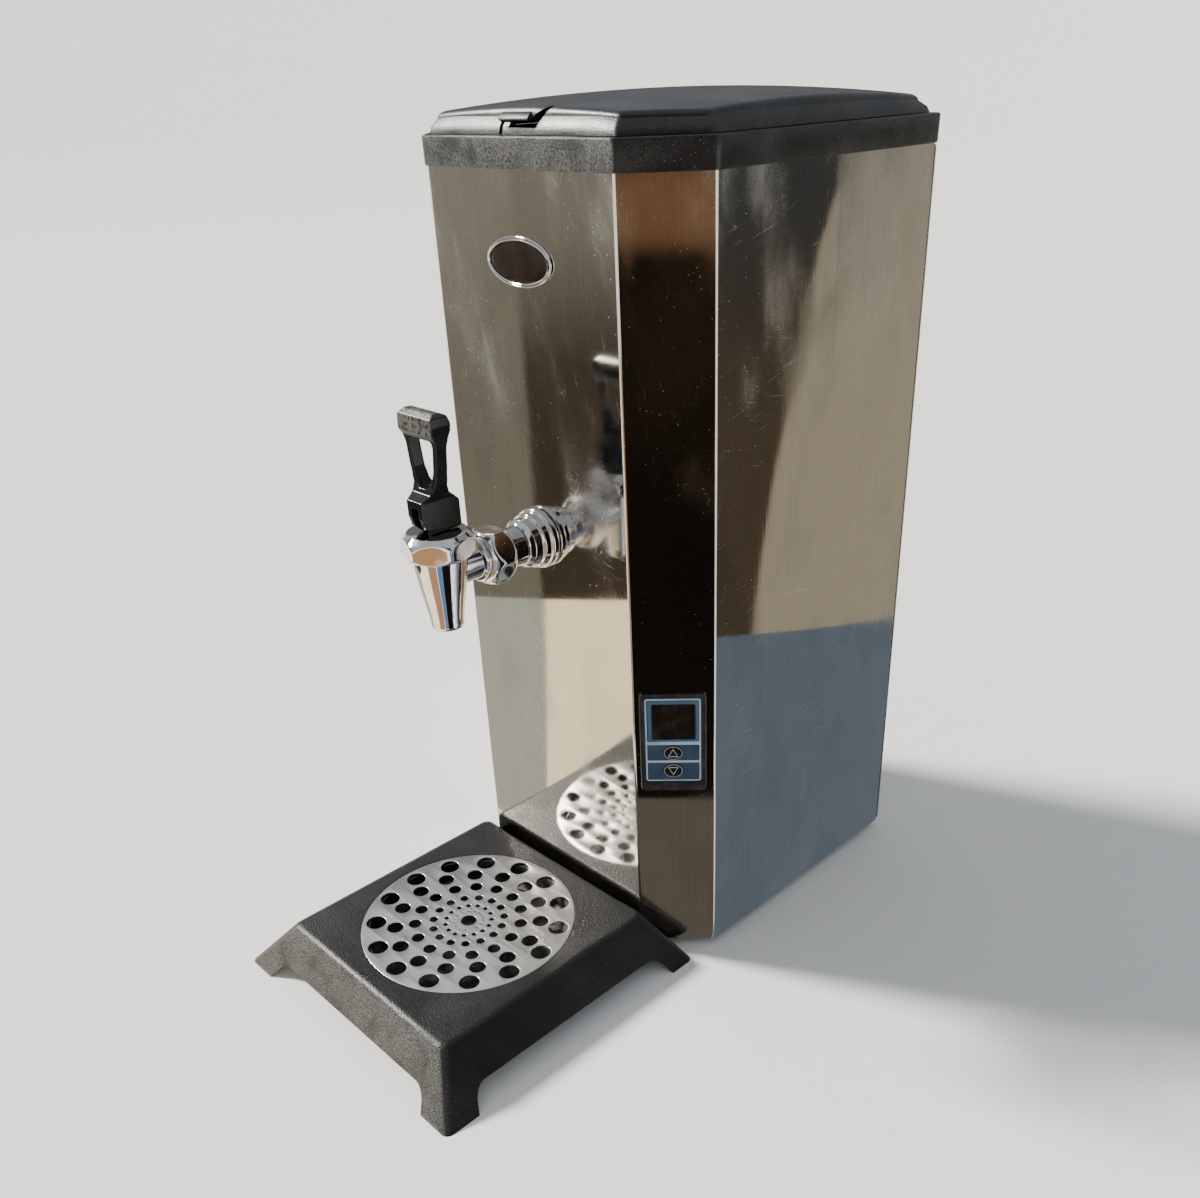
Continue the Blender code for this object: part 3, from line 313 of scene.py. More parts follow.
def grained_plastic(name, colour, roughness, grain, depth, dust, painted_front_light, front_from, front_to):
    """Moulded black plastic with a fine grain and pale dust in it, and a pale painted light on its
    front face, broken up by noise.

    The front is what faces -Y more than front_from, and fully from front_to on.
    """
    plastic = Finish(name, colour, roughness, 0.0, Specular_IOR_Level=0.42)
    pits = plastic.noise(grain, 0.35, 0.65, 1.0, detail=2)
    haze = plastic.noise(34, 0.40, 0.72, dust, detail=7)
    plastic.tint(plastic.both(haze, pits), (0.16, 0.155, 0.145))
    specks = plastic.both(plastic.grains(520, 0.12), plastic.noise(30, 0.46, 0.60, shift=4.0))
    plastic.tint(specks, (0.22, 0.215, 0.20))
    # Pale painted light on the faces that look towards -Y, where the key light falls, broken up by
    # noise
    front = plastic.both(plastic.facing("Y", front_from, front_to),
                         plastic.noise(60, 0.15, 0.60, painted_front_light))
    front = plastic.both(front, plastic.noise(1300, 0.30, 0.66, detail=3))
    plastic.tint(front, (0.30, 0.295, 0.27))
    plastic.dull(plastic.noise(34, 0.40, 0.70, 0.12, shift=2.0))
    plastic.bump(pits, depth, 0.8)
    return plastic


def handle_plastic():
    """Gloss black, greyer and rougher in patches on the faces of the grip that look up and forward.
    """
    black = Finish("handle_plastic", (0.005, 0.005, 0.0055), 0.13, Specular_IOR_Level=0.34)
    # Grey, rougher patches on the grip's upward and forward faces, mottled with noise
    grip = black.along("Z", PIN_Z + 0.040, PIN_Z + 0.046)
    up_or_forward_faces = black.math("MAXIMUM", black.facing("Y", -0.35, -0.75), black.facing("Z", 0.45, 0.85))
    grey_grip_patches = black.both(black.both(grip, up_or_forward_faces), black.noise(520, 0.25, 0.60, 0.9, detail=6))
    black.tint(grey_grip_patches, (0.10, 0.097, 0.088))
    black.dull(grey_grip_patches, 0.22)
    black.dull(black.noise(130, 0.40, 0.70, 0.06, detail=5, shift=3.0))
    black.bump(black.noise(420, 0.3, 0.7, detail=4), 0.00002, 0.25)
    return black


def smooth_plastic(name, colour, roughness, dust, variation):
    """Plain moulded or printed surface with a fine orange peel and a little dust."""
    plastic = Finish(name, colour, roughness)
    plastic.tint(plastic.noise(110, 0.42, 0.72, variation, detail=5), dust)
    plastic.dull(plastic.noise(160, 0.40, 0.70, 0.12, shift=2.0))
    plastic.bump(plastic.noise(900, 0.3, 0.7), 0.00001, 0.5)
    return plastic


FINISHES = {maker.__name__: maker() for maker in (
    stainless_sheet, stainless_grid, bright_steel, tank_steel, chrome_plate, brass_fittings)}
# The last three values give the strength of the painted light on the front faces and the facing
# range where it comes in
FINISHES["lid_plastic"] = grained_plastic(
    "lid_plastic", (0.007, 0.0075, 0.0085), 0.30, 1500, 0.00005, 0.16, 0.36, -0.80, -0.92)
FINISHES["tray_plastic"] = grained_plastic(
    "tray_plastic", (0.006, 0.006, 0.0070), 0.34, 1000, 0.00012, 0.08, 0.30, -0.55, -0.68)
FINISHES["handle_plastic"] = handle_plastic()
# Colour, roughness, colour of the dust and how much of it
PLAIN_FINISHES = {
    "bezel_plastic": ((0.012, 0.012, 0.013), 0.30, (0.05, 0.05, 0.05), 0.5),
    "key_plastic": ((0.008, 0.008, 0.009), 0.20, (0.03, 0.03, 0.03), 0.5),
    "blue_film": ((0.020, 0.042, 0.075), 0.28, (0.032, 0.060, 0.098), 0.7),
    "dark_window": ((0.010, 0.007, 0.005), 0.06, (0.035, 0.026, 0.020), 0.5),
    "dark_enamel": ((0.012, 0.007, 0.005), 0.10, (0.030, 0.020, 0.015), 0.5),
    "black_rubber": ((0.022, 0.022, 0.022), 0.70, (0.06, 0.06, 0.055), 0.6),
    "silicone": ((0.62, 0.55, 0.46), 0.45, (0.45, 0.38, 0.30), 0.5),
    "inner_plastic": ((0.022, 0.022, 0.022), 0.40, (0.06, 0.06, 0.055), 0.5),
    "circuit_board": ((0.015, 0.120, 0.050), 0.40, (0.03, 0.20, 0.09), 0.5),
}
for slot_name, look_of_slot in PLAIN_FINISHES.items():
    FINISHES[slot_name] = smooth_plastic(slot_name, *look_of_slot)
PALE_PRINT = smooth_plastic("pale_print", (0.25, 0.34, 0.45), 0.35, (0.16, 0.22, 0.30), 0.6)
BORDER_PRINT = smooth_plastic("border_print", (0.035, 0.090, 0.150), 0.30,
                              (0.025, 0.060, 0.10), 0.6)
KEY_PRINT = smooth_plastic("key_print", (0.30, 0.31, 0.32), 0.40, (0.18, 0.18, 0.19), 0.6)


# ---------------------------------------------------------------- shape helpers

def add_object(name, data):
    obj = bpy.data.objects.new(name, data)
    bpy.context.scene.collection.objects.link(obj)
    return obj


def evaluated_mesh(obj):
    bpy.context.view_layer.update()
    evaluated = obj.evaluated_get(bpy.context.evaluated_depsgraph_get())
    return bpy.data.meshes.new_from_object(evaluated)


def settle(obj):
    """Apply an object's modifiers and its place."""
    mesh = evaluated_mesh(obj)
    mesh.transform(obj.matrix_world)
    obj.modifiers.clear()
    obj.data = mesh
    obj.matrix_world = Matrix.Identity(4)
    return obj


def new_piece(name, bm, place=None):
    """An object made from a bmesh, with its place worked into its points."""
    bmesh.ops.recalc_face_normals(bm, faces=bm.faces)
    mesh = bpy.data.meshes.new(name)
    bm.to_mesh(mesh)
    bm.free()
    if place is not None:
        mesh.transform(place)
    return add_object(name, mesh)


def boolean(target, helper, operation):
    modifier = target.modifiers.new(operation, "BOOLEAN")
    modifier.operation = operation
    modifier.object = helper
    modifier.solver = "EXACT"
    settle(target)
    bpy.data.objects.remove(helper, do_unlink=True)


def cut(target, *helpers):
    for helper in helpers:
        boolean(target, helper, "DIFFERENCE")


def join(target, *helpers):
    for helper in helpers:
        boolean(target, helper, "UNION")


def fill_holes(obj, sides=0):
    """Close the openings in a surface that have at most so many sides; 0 closes them all."""
    bm = bmesh.new()
    bm.from_mesh(obj.data)
    bmesh.ops.holes_fill(bm, edges=[edge for edge in bm.edges if edge.is_boundary], sides=sides)
    bm.to_mesh(obj.data)
    bm.free()


def soften(obj, width, segments=3, angle=35):
    """Round the edges that turn more than an angle."""
    bevel = obj.modifiers.new("edges", "BEVEL")
    bevel.width = width
    bevel.segments = segments
    bevel.limit_method = "ANGLE"
    bevel.angle_limit = radians(angle)
    settle(obj)


def thicken(obj, thickness, offset):
    """Give a sheet its wall: centred on it (offset 0) or inside it (offset -1)."""
    wall = obj.modifiers.new("wall", "SOLIDIFY")
    wall.thickness = thickness
    wall.offset = offset
    wall.use_even_offset = True
    settle(obj)


def present(obj, slot, *nodes, body="cabinet", look=None, angle=35):
    """Give a piece its finish and its body, and hide the CAD nodes that it stands for."""
    obj.data.shade_smooth()
    obj.data.set_sharp_from_angle(angle=radians(angle))
    obj.data.materials.clear()
    obj.data.materials.append((look or FINISHES[slot]).material)
    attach(obj, body)
    if nodes:
        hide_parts(*nodes)


def fillet(points, radius, steps=4):
    """Round the inner corners of an open line of points."""
    result = [points[0]]
    for before, here, after in zip(points, points[1:], points[2:]):
        here = Vector(here)
        back = Vector(before) - here
        ahead = Vector(after) - here
        reach = min(radius, 0.45 * back.length, 0.45 * ahead.length)
        start = here + back.normalized() * reach
        stop = here + ahead.normalized() * reach
        for k in range(steps + 1):
            t = k / steps
            point = start.lerp(here, t).lerp(here.lerp(stop, t), t)
            result.append((point.x, point.y))
    result.append(points[-1])
    return result


def loft(name, loops, place=None, closed=False):
    """Skin over loops with the same number of points; a single point ends it in a fan."""
    bm = bmesh.new()
    rings = [[bm.verts.new(p) for p in loop] for loop in loops]
    pairs = list(zip(rings, rings[1:]))
    if closed:
        pairs.append((rings[-1], rings[0]))
    for first, second in pairs:
        if len(first) < len(second):
            first, second = second, first
        count = len(first)
        for i in range(count if count > 1 else 0):
            k = (i + 1) % count
            if len(second) == 1:
                bm.faces.new((first[i], first[k], second[0]))
            else:
                bm.faces.new((first[i], first[k], second[k], second[i]))
    return new_piece(name, bm, place)


def ellipse_loop(a, b, z, steps):
    """Level loop with half axes a and b; it shrinks to one point on the axis."""
    if min(a, b) < 1e-6:
        return [(0, 0, z)]
    return [(a * cos(2 * pi * i / steps), b * sin(2 * pi * i / steps), z) for i in range(steps)]


# Sides of the larger and the smaller round parts
FINE = 96
COARSE = 32


def turned(name, profile, place, steps=72, radius=0.0):
    """Solid of revolution from (radius, height) points, with its corners rounded."""
    points = fillet(profile, radius) if radius else profile
    loops = [ellipse_loop(r, r, z, steps) for r, z in points]
    return loft(name, loops, place, closed=profile[0][0] > 0)


def rod(name, radius, low, high, place, steps=FINE):
    return turned(name, [(0.0, low), (radius, low), (radius, high), (0.0, high)], place, steps)


# Distance over which a nut's flats run into its turned envelope
EDGE_BLEND = 0.00022


def soft_minimum(a, b, blend):
    return -blend * log(exp(-a / blend) + exp(-b / blend))


def nut(name, across_flats, bore, envelope, place, turn=0.0, steps=180, fine=0.0004):
    """Hexagonal nut: a six-sided prism inside a turned envelope, its edges softened."""
    outline = []
    for (r0, z0), (r1, z1) in zip(envelope, envelope[1:]):
        count = max(1, ceil(hypot(r1 - r0, z1 - z0) / fine))
        outline += [(r0 + (r1 - r0) * k / count, z0 + (z1 - z0) * k / count) for k in range(count)]
    outline.append(envelope[-1])

    def ring(limit, z):
        points = []
        for i in range(steps):
            a = 2 * pi * i / steps
            off = (a - radians(turn) + pi / 6) % (pi / 3) - pi / 6
            r = soft_minimum(across_flats / 2 / cos(off), limit, EDGE_BLEND)
            points.append((r * cos(a), r * sin(a), z))
        return points

    loops = [ellipse_loop(bore, bore, envelope[0][1], steps)]
    loops += [ring(limit, z) for limit, z in outline]
    loops.append(ellipse_loop(bore, bore, envelope[-1][1], steps))
    return loft(name, loops, place, closed=True)


def arc(centre, radius, start, stop, steps):
    """Points on a circle, angles in degrees."""
    angles = [radians(start + (stop - start) * i / steps) for i in range(steps + 1)]
    return [(centre[0] + radius * cos(a), centre[1] + radius * sin(a)) for a in angles]


def circle(centre, radius, steps):
    return arc(centre, radius, 0, 360, steps)[:-1]


def oval(centre, half_width, half_height, steps=64):
    turns = [2 * pi * i / steps for i in range(steps)]
    return [(centre[0] + half_width * cos(a), centre[1] + half_height * sin(a)) for a in turns]


def rounded(points, radius, steps=6):
    """Round every corner of a closed outline."""
    result = []
    count = len(points)
    for i, corner in enumerate(points):
        here = Vector(corner)
        before = (Vector(points[i - 1]) - here).normalized()
        after = (Vector(points[(i + 1) % count]) - here).normalized()
        half = before.angle(after) / 2
        reach = radius / tan(half)
        centre = here + (before + after).normalized() * (radius / sin(half))
        start = here + before * reach - centre
        sweep = start.angle_signed(here + after * reach - centre)
        for k in range(steps + 1):
            a = -sweep * k / steps
            x = start.x * cos(a) - start.y * sin(a)
            y = start.x * sin(a) + start.y * cos(a)
            result.append((centre.x + x, centre.y + y))
    return result


def rectangle(x0, x1, y0, y1):
    return [(x0, y0), (x1, y0), (x1, y1), (x0, y1)]


def plate(name, outlines, low, high, place=None, edge=0.0):
    """Flat plate from an outline and its holes, with rounded edges of a given size."""
    curve = bpy.data.curves.new(name, "CURVE")
    curve.dimensions = "2D"
    curve.fill_mode = "BOTH"
    curve.extrude = (high - low) / 2 - edge
    curve.bevel_depth = edge
    curve.bevel_resolution = 2
    curve.offset = -edge
    for outline in outlines:
        spline = curve.splines.new("POLY")
        spline.points.add(len(outline) - 1)
        for point, (x, y) in zip(spline.points, outline):
            point.co = (x, y, 0.0, 1.0)
        spline.use_cyclic_u = True
    source = add_object(name + "_outline", curve)
    bm = bmesh.new()
    bm.from_mesh(evaluated_mesh(source))
    bmesh.ops.remove_doubles(bm, verts=bm.verts, dist=0.000005)
    bpy.data.objects.remove(source, do_unlink=True)
    return new_piece(name, bm, (place or Matrix.Identity(4)) @ at(z=(low + high) / 2))


def block(name, size, centre, edge=0.0, segments=3):
    """Box-shaped helper for cutting and joining."""
    bm = bmesh.new()
    bmesh.ops.create_cube(bm, size=1.0)
    bmesh.ops.scale(bm, vec=size, verts=bm.verts)
    bmesh.ops.translate(bm, vec=centre, verts=bm.verts)
    obj = new_piece(name, bm)
    if edge:
        soften(obj, edge, segments)
    return obj


def cabinet_outline(offset):
    """The cabinet's plan, moved outwards by an offset; it runs anticlockwise."""
    front_half = FRONT_WIDTH / 2 + offset * tan(CHAMFER_TURN / 2)
    side_start = FACE_Y + CHAMFER_DEPTH - offset * tan((pi / 2 - CHAMFER_TURN) / 2)
    half = BODY_WIDTH / 2 + offset
    front = FACE_Y - offset
    rear = REAR_Y + offset
    return [(-front_half, front), (front_half, front), (half, side_start),
            (half, rear), (-half, rear), (-half, side_start)]


def plan(offset, radius, corner_steps=5, spacing=0.010):
    """The cabinet's outline with rounded corners and evenly placed points on its sides."""
    base = cabinet_outline(0)
    points = rounded(cabinet_outline(offset), radius, corner_steps)
    loop = []
    for i in range(len(base)):
        arc_points = points[i * (corner_steps + 1):(i + 1) * (corner_steps + 1)]
        loop += arc_points
        following = points[((i + 1) * (corner_steps + 1)) % len(points)]
        count = ceil((Vector(base[(i + 1) % len(base)]) - Vector(base[i])).length / spacing)
        start = Vector(arc_points[-1])
        step = (Vector(following) - start) / count
        loop += [tuple(start + step * k) for k in range(1, count)]
    return loop


# ---------------------------------------------------------------- cabinet

FLANGE_WIDTH = 0.012
FOLD_RADIUS = 0.0009
SHANK_HOLE_RADIUS = 0.0078


def cabinet_skin():
    """Front, chamfers and sides folded from one sheet, with flanges at the rear."""
    inset = SHEET / 2
    outline = cabinet_outline(-inset)
    edge_y = PANEL_LOW.y - GAP - inset
    side = BODY_WIDTH / 2 - inset
    lip = side - FLANGE_WIDTH
    path = [(lip, edge_y), (side, edge_y), outline[2], outline[1],
            outline[0], outline[5], (-side, edge_y), (-lip, edge_y)]
    line = fillet(path, FOLD_RADIUS, 6)
    bm = bmesh.new()
    heights = (SHELL_LOW.z, SHELL_HIGH.z)
    rows = [[bm.verts.new((x, y, z)) for x, y in line] for z in heights]
    for i in range(len(line) - 1):
        bm.faces.new((rows[0][i], rows[0][i + 1], rows[1][i + 1], rows[1][i]))
    skin = new_piece("cabinet_skin", bm)
    thicken(skin, SHEET, 0.0)
    opening = [rounded(shrink(PANEL_OPENING, 0), 0.002)]
    cut(skin, plate("panel_opening", opening, -0.004, 0.004, CHAMFER))
    hole = [circle((0, TAP_Z), SHANK_HOLE_RADIUS, 32)]
    cut(skin, plate("shank_hole", hole, -0.01, 0.01, FACE))
    present(skin, "stainless_sheet", "cabinet_shell", angle=30)


def cap_screws():
    """Pan-head screws with a cross recess on the rear panel."""
    for side in ("left", "right"):
        for row in ("lower", "upper"):
            node = f"rear_screw_{row}_{side}"
            spot = middle(node)
            profile = [(0.0, 0.0022), (0.0012, 0.0021), (0.0024, 0.0018), (0.0032, 0.0011),
                       (0.0035, 0.0004), (0.0035, GAP), (0.0015, GAP), (0.0015, -0.0060),
                       (0.0, -0.0066)]
            screw = turned(f"screw_{row}_{side}", profile,
                           at(spot.x, REAR_Y, spot.z) @ BACKWARD, COARSE)
            for size in ((0.0034, 0.0020, 0.0007), (0.0007, 0.0020, 0.0034)):
                cut(screw, block("recess", size, (spot.x, REAR_Y + 0.0022, spot.z)))
            present(screw, "bright_steel", node)


# ---------------------------------------------------------------- collar and lid

LID_INSET = 0.0028
LID_WALL = 0.0025
BEVEL_RISE = 0.0078
BEVEL_RUN = 0.0046
SHOULDER_RUN = 0.0036
SHOULDER_DROP = 0.0026
CROWN_Y = FACE_Y + 0.112
CROWN_FALL_X = 0.52
CROWN_FALL_Y = 0.43


def crown_height(x, y):
    """Height of the doubly crowned top above the plan point."""
    return CROWN_TOP - CROWN_FALL_X * x * x - CROWN_FALL_Y * (y - CROWN_Y) ** 2


KNUCKLE_RADIUS = 0.0030
# Middle of each of the collar's knuckles from the middle of its hinge
KNUCKLE_OFFSET = 0.0088


def knuckle(name, x, half, bore):
    """Tube round the hinge's axis."""
    wall = [(bore, -half), (KNUCKLE_RADIUS, -half), (KNUCKLE_RADIUS, half), (bore, half)]
    return turned(name, wall, at(x, HINGE_Y, HINGE_Z) @ ALONG_X, COARSE)


def collar_band():
    """Moulded band that caps the sheet's top edge and carries the lid."""
    top = LID_EDGE_Z - GAP
    high = SHELL_HIGH.z + GAP
    outer = 0.0016
    profile = [(GAP + 0.0002, BODY_TOP), (outer - 0.0006, BODY_TOP),
               (outer - 0.0002, BODY_TOP + 0.0008), (outer, top - 0.0009),
               (outer - 0.0003, top - 0.0003), (outer - 0.0010, top),
               (-0.0090, top), (-0.0098, top - 0.0004), (-0.0100, top - 0.0012),
               (-0.0100, BODY_TOP), (-0.0022, BODY_TOP), (-0.0022, high), (GAP + 0.0002, high)]
    loops = [[(x, y, z) for x, y in plan(offset, 0.0040 + offset * 0.3)] for offset, z in profile]
    band = loft("collar_band", loops, closed=True)
    for x in HINGE_X:
        for sign in (-1, 1):
            spot = x + sign * KNUCKLE_OFFSET
            join(band, block("knuckle_foot", (0.0050, 0.0040, 0.0032),
                             (spot, HINGE_Y, top + 0.0011)))
            join(band, knuckle("collar_knuckle", spot, 0.0025, 0.0016))
    present(band, "lid_plastic", "lid_collar")


def lid_loops(inset, drop):
    """Loops from the lid's edge over its bevel and shoulder to the middle of the crown."""
    def outline(run):
        return plan(-LID_INSET - inset - run, 0.0038)

    loops = [[(x, y, LID_EDGE_Z) for x, y in outline(0.0)]]
    shoulder = outline(BEVEL_RUN)
    tops = [min(LID_EDGE_Z + BEVEL_RISE, crown_height(x, y) - SHOULDER_DROP) - drop
            for x, y in shoulder]
    for share, bend in ((0.08, 0.25), (0.5, 0.5)):
        loops.append([(x, y, LID_EDGE_Z + (z - LID_EDGE_Z) * share)
                      for (x, y), z in zip(outline(BEVEL_RUN * bend * share), tops)])
    steps = 7
    for k in range(steps + 1):
        a = radians(90 * k / steps)
        run = BEVEL_RUN + SHOULDER_RUN * (1 - cos(a))
        loop = outline(run)
        loops.append([(x, y, z + (crown_height(x, y) - drop - z) * sin(a))
                      for (x, y), z in zip(loop, tops)])
    rim = [Vector((x, y)) for x, y, z in loops[-1]]
    centre = Vector((0, CROWN_Y))
    rings = 9
    for k in range(1, rings):
        share = 1 - k / rings
        loop = [centre + (p - centre) * share for p in rim]
        loops.append([(p.x, p.y, crown_height(p.x, p.y) - drop) for p in loop])
    loops.append([(0, CROWN_Y, CROWN_TOP - drop)])
    return loops


def lid_cover():
    """Crowned cover moulded as a shell, with a finger notch in front and knuckles behind."""
    inside = lid_loops(LID_WALL, LID_WALL)
    cover = loft("lid_cover", inside[::-1] + lid_loops(0.0, 0.0))
    finger_notch(cover)
    for x in HINGE_X:
        cut(cover, block("knuckle_room", (0.0233, 0.0100, 0.0090),
                         (x, HINGE_Y + 0.0017, HINGE_Z - 0.0011)))
        join(cover, block("knuckle_bridge", (0.0116, 0.0042, 0.0034),
                          (x, HINGE_Y - 0.0041, HINGE_Z + 0.0004)))
        join(cover, knuckle("lid_knuckle", x, 0.0060, 0.0018))
    fill_holes(cover, 4)
    present(cover, "lid_plastic", "lid", body="lid", angle=28)


def finger_notch(cover):
    """Recess in the front bevel under a tab, with a curved gap at its right-hand end."""
    front = FACE_Y + LID_INSET
    recess = [(-0.0055, 0.0031), (0.0142, 0.0029), (0.0151, 0.0040), (0.0154, 0.0058),
              (0.0166, 0.0079), (0.0184, 0.0096), (0.0215, 0.0115), (0.0190, 0.0122),
              (0.0135, 0.0100), (0.0108, 0.0089), (0.0092, 0.0076), (0.0080, 0.0062),
              (-0.0055, 0.0061)]
    upright = at(0, front + 0.0070, LID_EDGE_Z) @ FORWARD
    cut(cover, plate("recess", [recess], -0.0025, 0.0120, upright))
    slit = [(-0.0123, 0.0003), (-0.0097, 0.0003), (-0.0097, 0.0063), (-0.0123, 0.0063)]
    cut(cover, plate("slit", [slit], -0.0025, 0.0120, upright))
    side = [(0.0094, 0.0078), (0.0094, 0.0102), (0.0076, 0.0104), (0.0058, 0.0101),
            (0.0040, 0.0093), (0.0026, 0.0082), (0.0018, 0.0070), (0.0018, 0.0063),
            (0.0024, 0.0060), (0.0040, 0.0062)]
    tab = plate("lift_tab", [side], -0.0110, 0.0110,
                at(-0.0031, front, LID_EDGE_Z) @ SIDE_ON, 0.0004)
    join(cover, tab)


# ---------------------------------------------------------------- badge and display

BADGE_HALF_WIDTH = 0.02475
BADGE_HALF_HEIGHT = 0.01225
BEZEL = (0.0034, 0.0413, 0.1127, 0.1765)
PANEL_OPENING = (0.0090, 0.0357, 0.1210, 0.1715)
OVERLAY = (0.0064, 0.0383, 0.1191, 0.1735)
WINDOW = (0.0103, 0.0351, 0.1470, 0.1698)
BUTTON_U = 0.0222
BUTTON_HEIGHTS = {"up": 0.1380, "down": 0.1261}
BUTTON_HALF_WIDTH = 0.0056
BUTTON_HALF_HEIGHT = 0.0046


def shrink(limits, by):
    u0, u1, v0, v1 = limits
    return rectangle(u0 + by, u1 - by, v0 + by, v1 - by)


def oval_dome(name, half_width, half_height, profile, place, steps=72):
    """Low oval form from (width taken off both half axes, height) steps."""
    loops = [ellipse_loop(half_width - width, half_height - width, z, steps)
             for width, z in profile]
    return loft(name, loops, place, closed=len(loops[-1]) > 1 and len(loops[0]) > 1)


def badge():
    """Blank oval badge: two bright rings with a dark groove, round a domed enamel face."""
    place = FACE @ at(0, BADGE_Z, 0)
    rim = [(0.0, GAP), (0.0, 0.0008), (0.0002, 0.0012), (0.0005, 0.0013), (0.0008, 0.0012),
           (0.0010, 0.0008), (0.0012, 0.0008), (0.0014, 0.0014), (0.0017, 0.0017),
           (0.0020, 0.0016), (0.0022, 0.0012), (0.0023, 0.0006), (0.0023, GAP)]
    ring = oval_dome("badge_ring", BADGE_HALF_WIDTH, BADGE_HALF_HEIGHT, rim, place)
    present(ring, "chrome_plate", "badge_rim", angle=50)
    face = [(0.0026, GAP), (0.0026, 0.0007), (0.0034, 0.0009), (0.0055, 0.0010), (0.0085, 0.0011),
            (0.01224, 0.0011)]
    enamel = oval_dome("badge_enamel", BADGE_HALF_WIDTH, BADGE_HALF_HEIGHT, face, place)
    fill_holes(enamel)
    present(enamel, "dark_enamel", "badge_face", angle=50)


def triangle(centre, half_width, half_height, way):
    """Corners of a triangle that points up (way 1) or down (way -1), anticlockwise."""
    points = [(-half_width, -half_height * way), (half_width, -half_height * way),
              (0.0, half_height * way)]
    points = [(centre[0] + x, centre[1] + y) for x, y in points]
    return points if way > 0 else points[::-1]


def keys():
    """Oval keys with a thin outline round them and a plain triangle on each."""
    for name, height in BUTTON_HEIGHTS.items():
        place = CHAMFER @ at(BUTTON_U, height, 0.0)
        cap = plate("key_cap_" + name, [oval((0, 0), BUTTON_HALF_WIDTH, BUTTON_HALF_HEIGHT)],
                    -GAP, 0.0018, place, 0.0004)
        present(cap, "key_plastic", "button_" + name, body="key_" + name)
        way = 1 if name == "up" else -1
        marks = [oval((0, 0), 0.00530, 0.00430), oval((0, 0), 0.00500, 0.00400),
                 triangle((0, 0.0002 * way), 0.00310, 0.00270, way),
                 triangle((0, 0.0001 * way), 0.00245, 0.00210, way)]
        lines = plate("key_marks_" + name, marks, 0.00175, 0.00188, place)
        present(lines, "key_plastic", body="key_" + name, look=KEY_PRINT)


def display_panel():
    """Bezel, printed overlay with its outlines, smoked window and keys."""
    frame_outline = [rounded(shrink(BEZEL, 0), 0.003), rounded(shrink(OVERLAY, -GAP), 0.001)]
    bezel = plate("bezel_frame", frame_outline, GAP, 0.0020, CHAMFER, 0.0004)
    present(bezel, "bezel_plastic", "panel_bezel")
    holes = [rounded(shrink(WINDOW, 0), 0.0008)]
    for height in BUTTON_HEIGHTS.values():
        holes.append(oval((BUTTON_U, height), BUTTON_HALF_WIDTH + GAP, BUTTON_HALF_HEIGHT + GAP))
    film = plate("overlay_film", [rounded(shrink(OVERLAY, 0), 0.001)] + holes, GAP, 0.0015, CHAMFER)
    present(film, "blue_film", "panel_overlay")
    low, high = 0.0015, 0.00157
    border = plate("window_border", [rounded(shrink(WINDOW, -0.0022), 0.0010),
                                     rounded(shrink(WINDOW, -0.0001), 0.0008)], low, high, CHAMFER)
    present(border, "blue_film", look=BORDER_PRINT)
    cells = [(0.1331, 0.1435), (0.1200, 0.1316), (0.1455, OVERLAY[3] - 0.0010)]
    inner = [rounded(rectangle(OVERLAY[0] + 0.0010, OVERLAY[1] - 0.0010, *cell), 0.0007)
             for cell in cells]
    lines = plate("overlay_lines", [rounded(shrink(OVERLAY, 0.0001), 0.0016)] + inner,
                  low, high + 0.00004, CHAMFER)
    present(lines, "blue_film", look=PALE_PRINT)
    lens = plate("window_lens", [rounded(shrink(WINDOW, GAP), 0.0005)], -0.0004, 0.0015,
                 CHAMFER, 0.00015)
    present(lens, "dark_window", "display_window")
    keys()


# ---------------------------------------------------------------- tap

def tap_spout():
    """Tapered spout under a valve chamber, with the neck that leads back to the shank."""
    outline = [(0.0095, 0.0185), (0.0125, 0.0185), (0.0125, 0.0097), (0.0148, 0.0097),
               (0.0147, 0.0080), (0.0139, 0.0020), (0.0125, -0.0070), (0.0110, -0.0150),
               (0.0096, -0.0230), (0.0091, -0.0264), (0.0090, -0.0290), (0.0082, -0.0308),
               (0.0066, -0.0310), (0.0058, -0.0304), (0.0058, -0.0085), (0.0095, -0.0085)]
    body = turned("tap_spout", outline, SPOUT, FINE, 0.0010)
    join(body, rod("tap_neck", 0.0096, 0.0360, 0.0640, SHANK))
    cut(body, rod("chamber", 0.0095, -0.0084, 0.0230, SPOUT))
    present(body, "chrome_plate", "tap_body", angle=30)


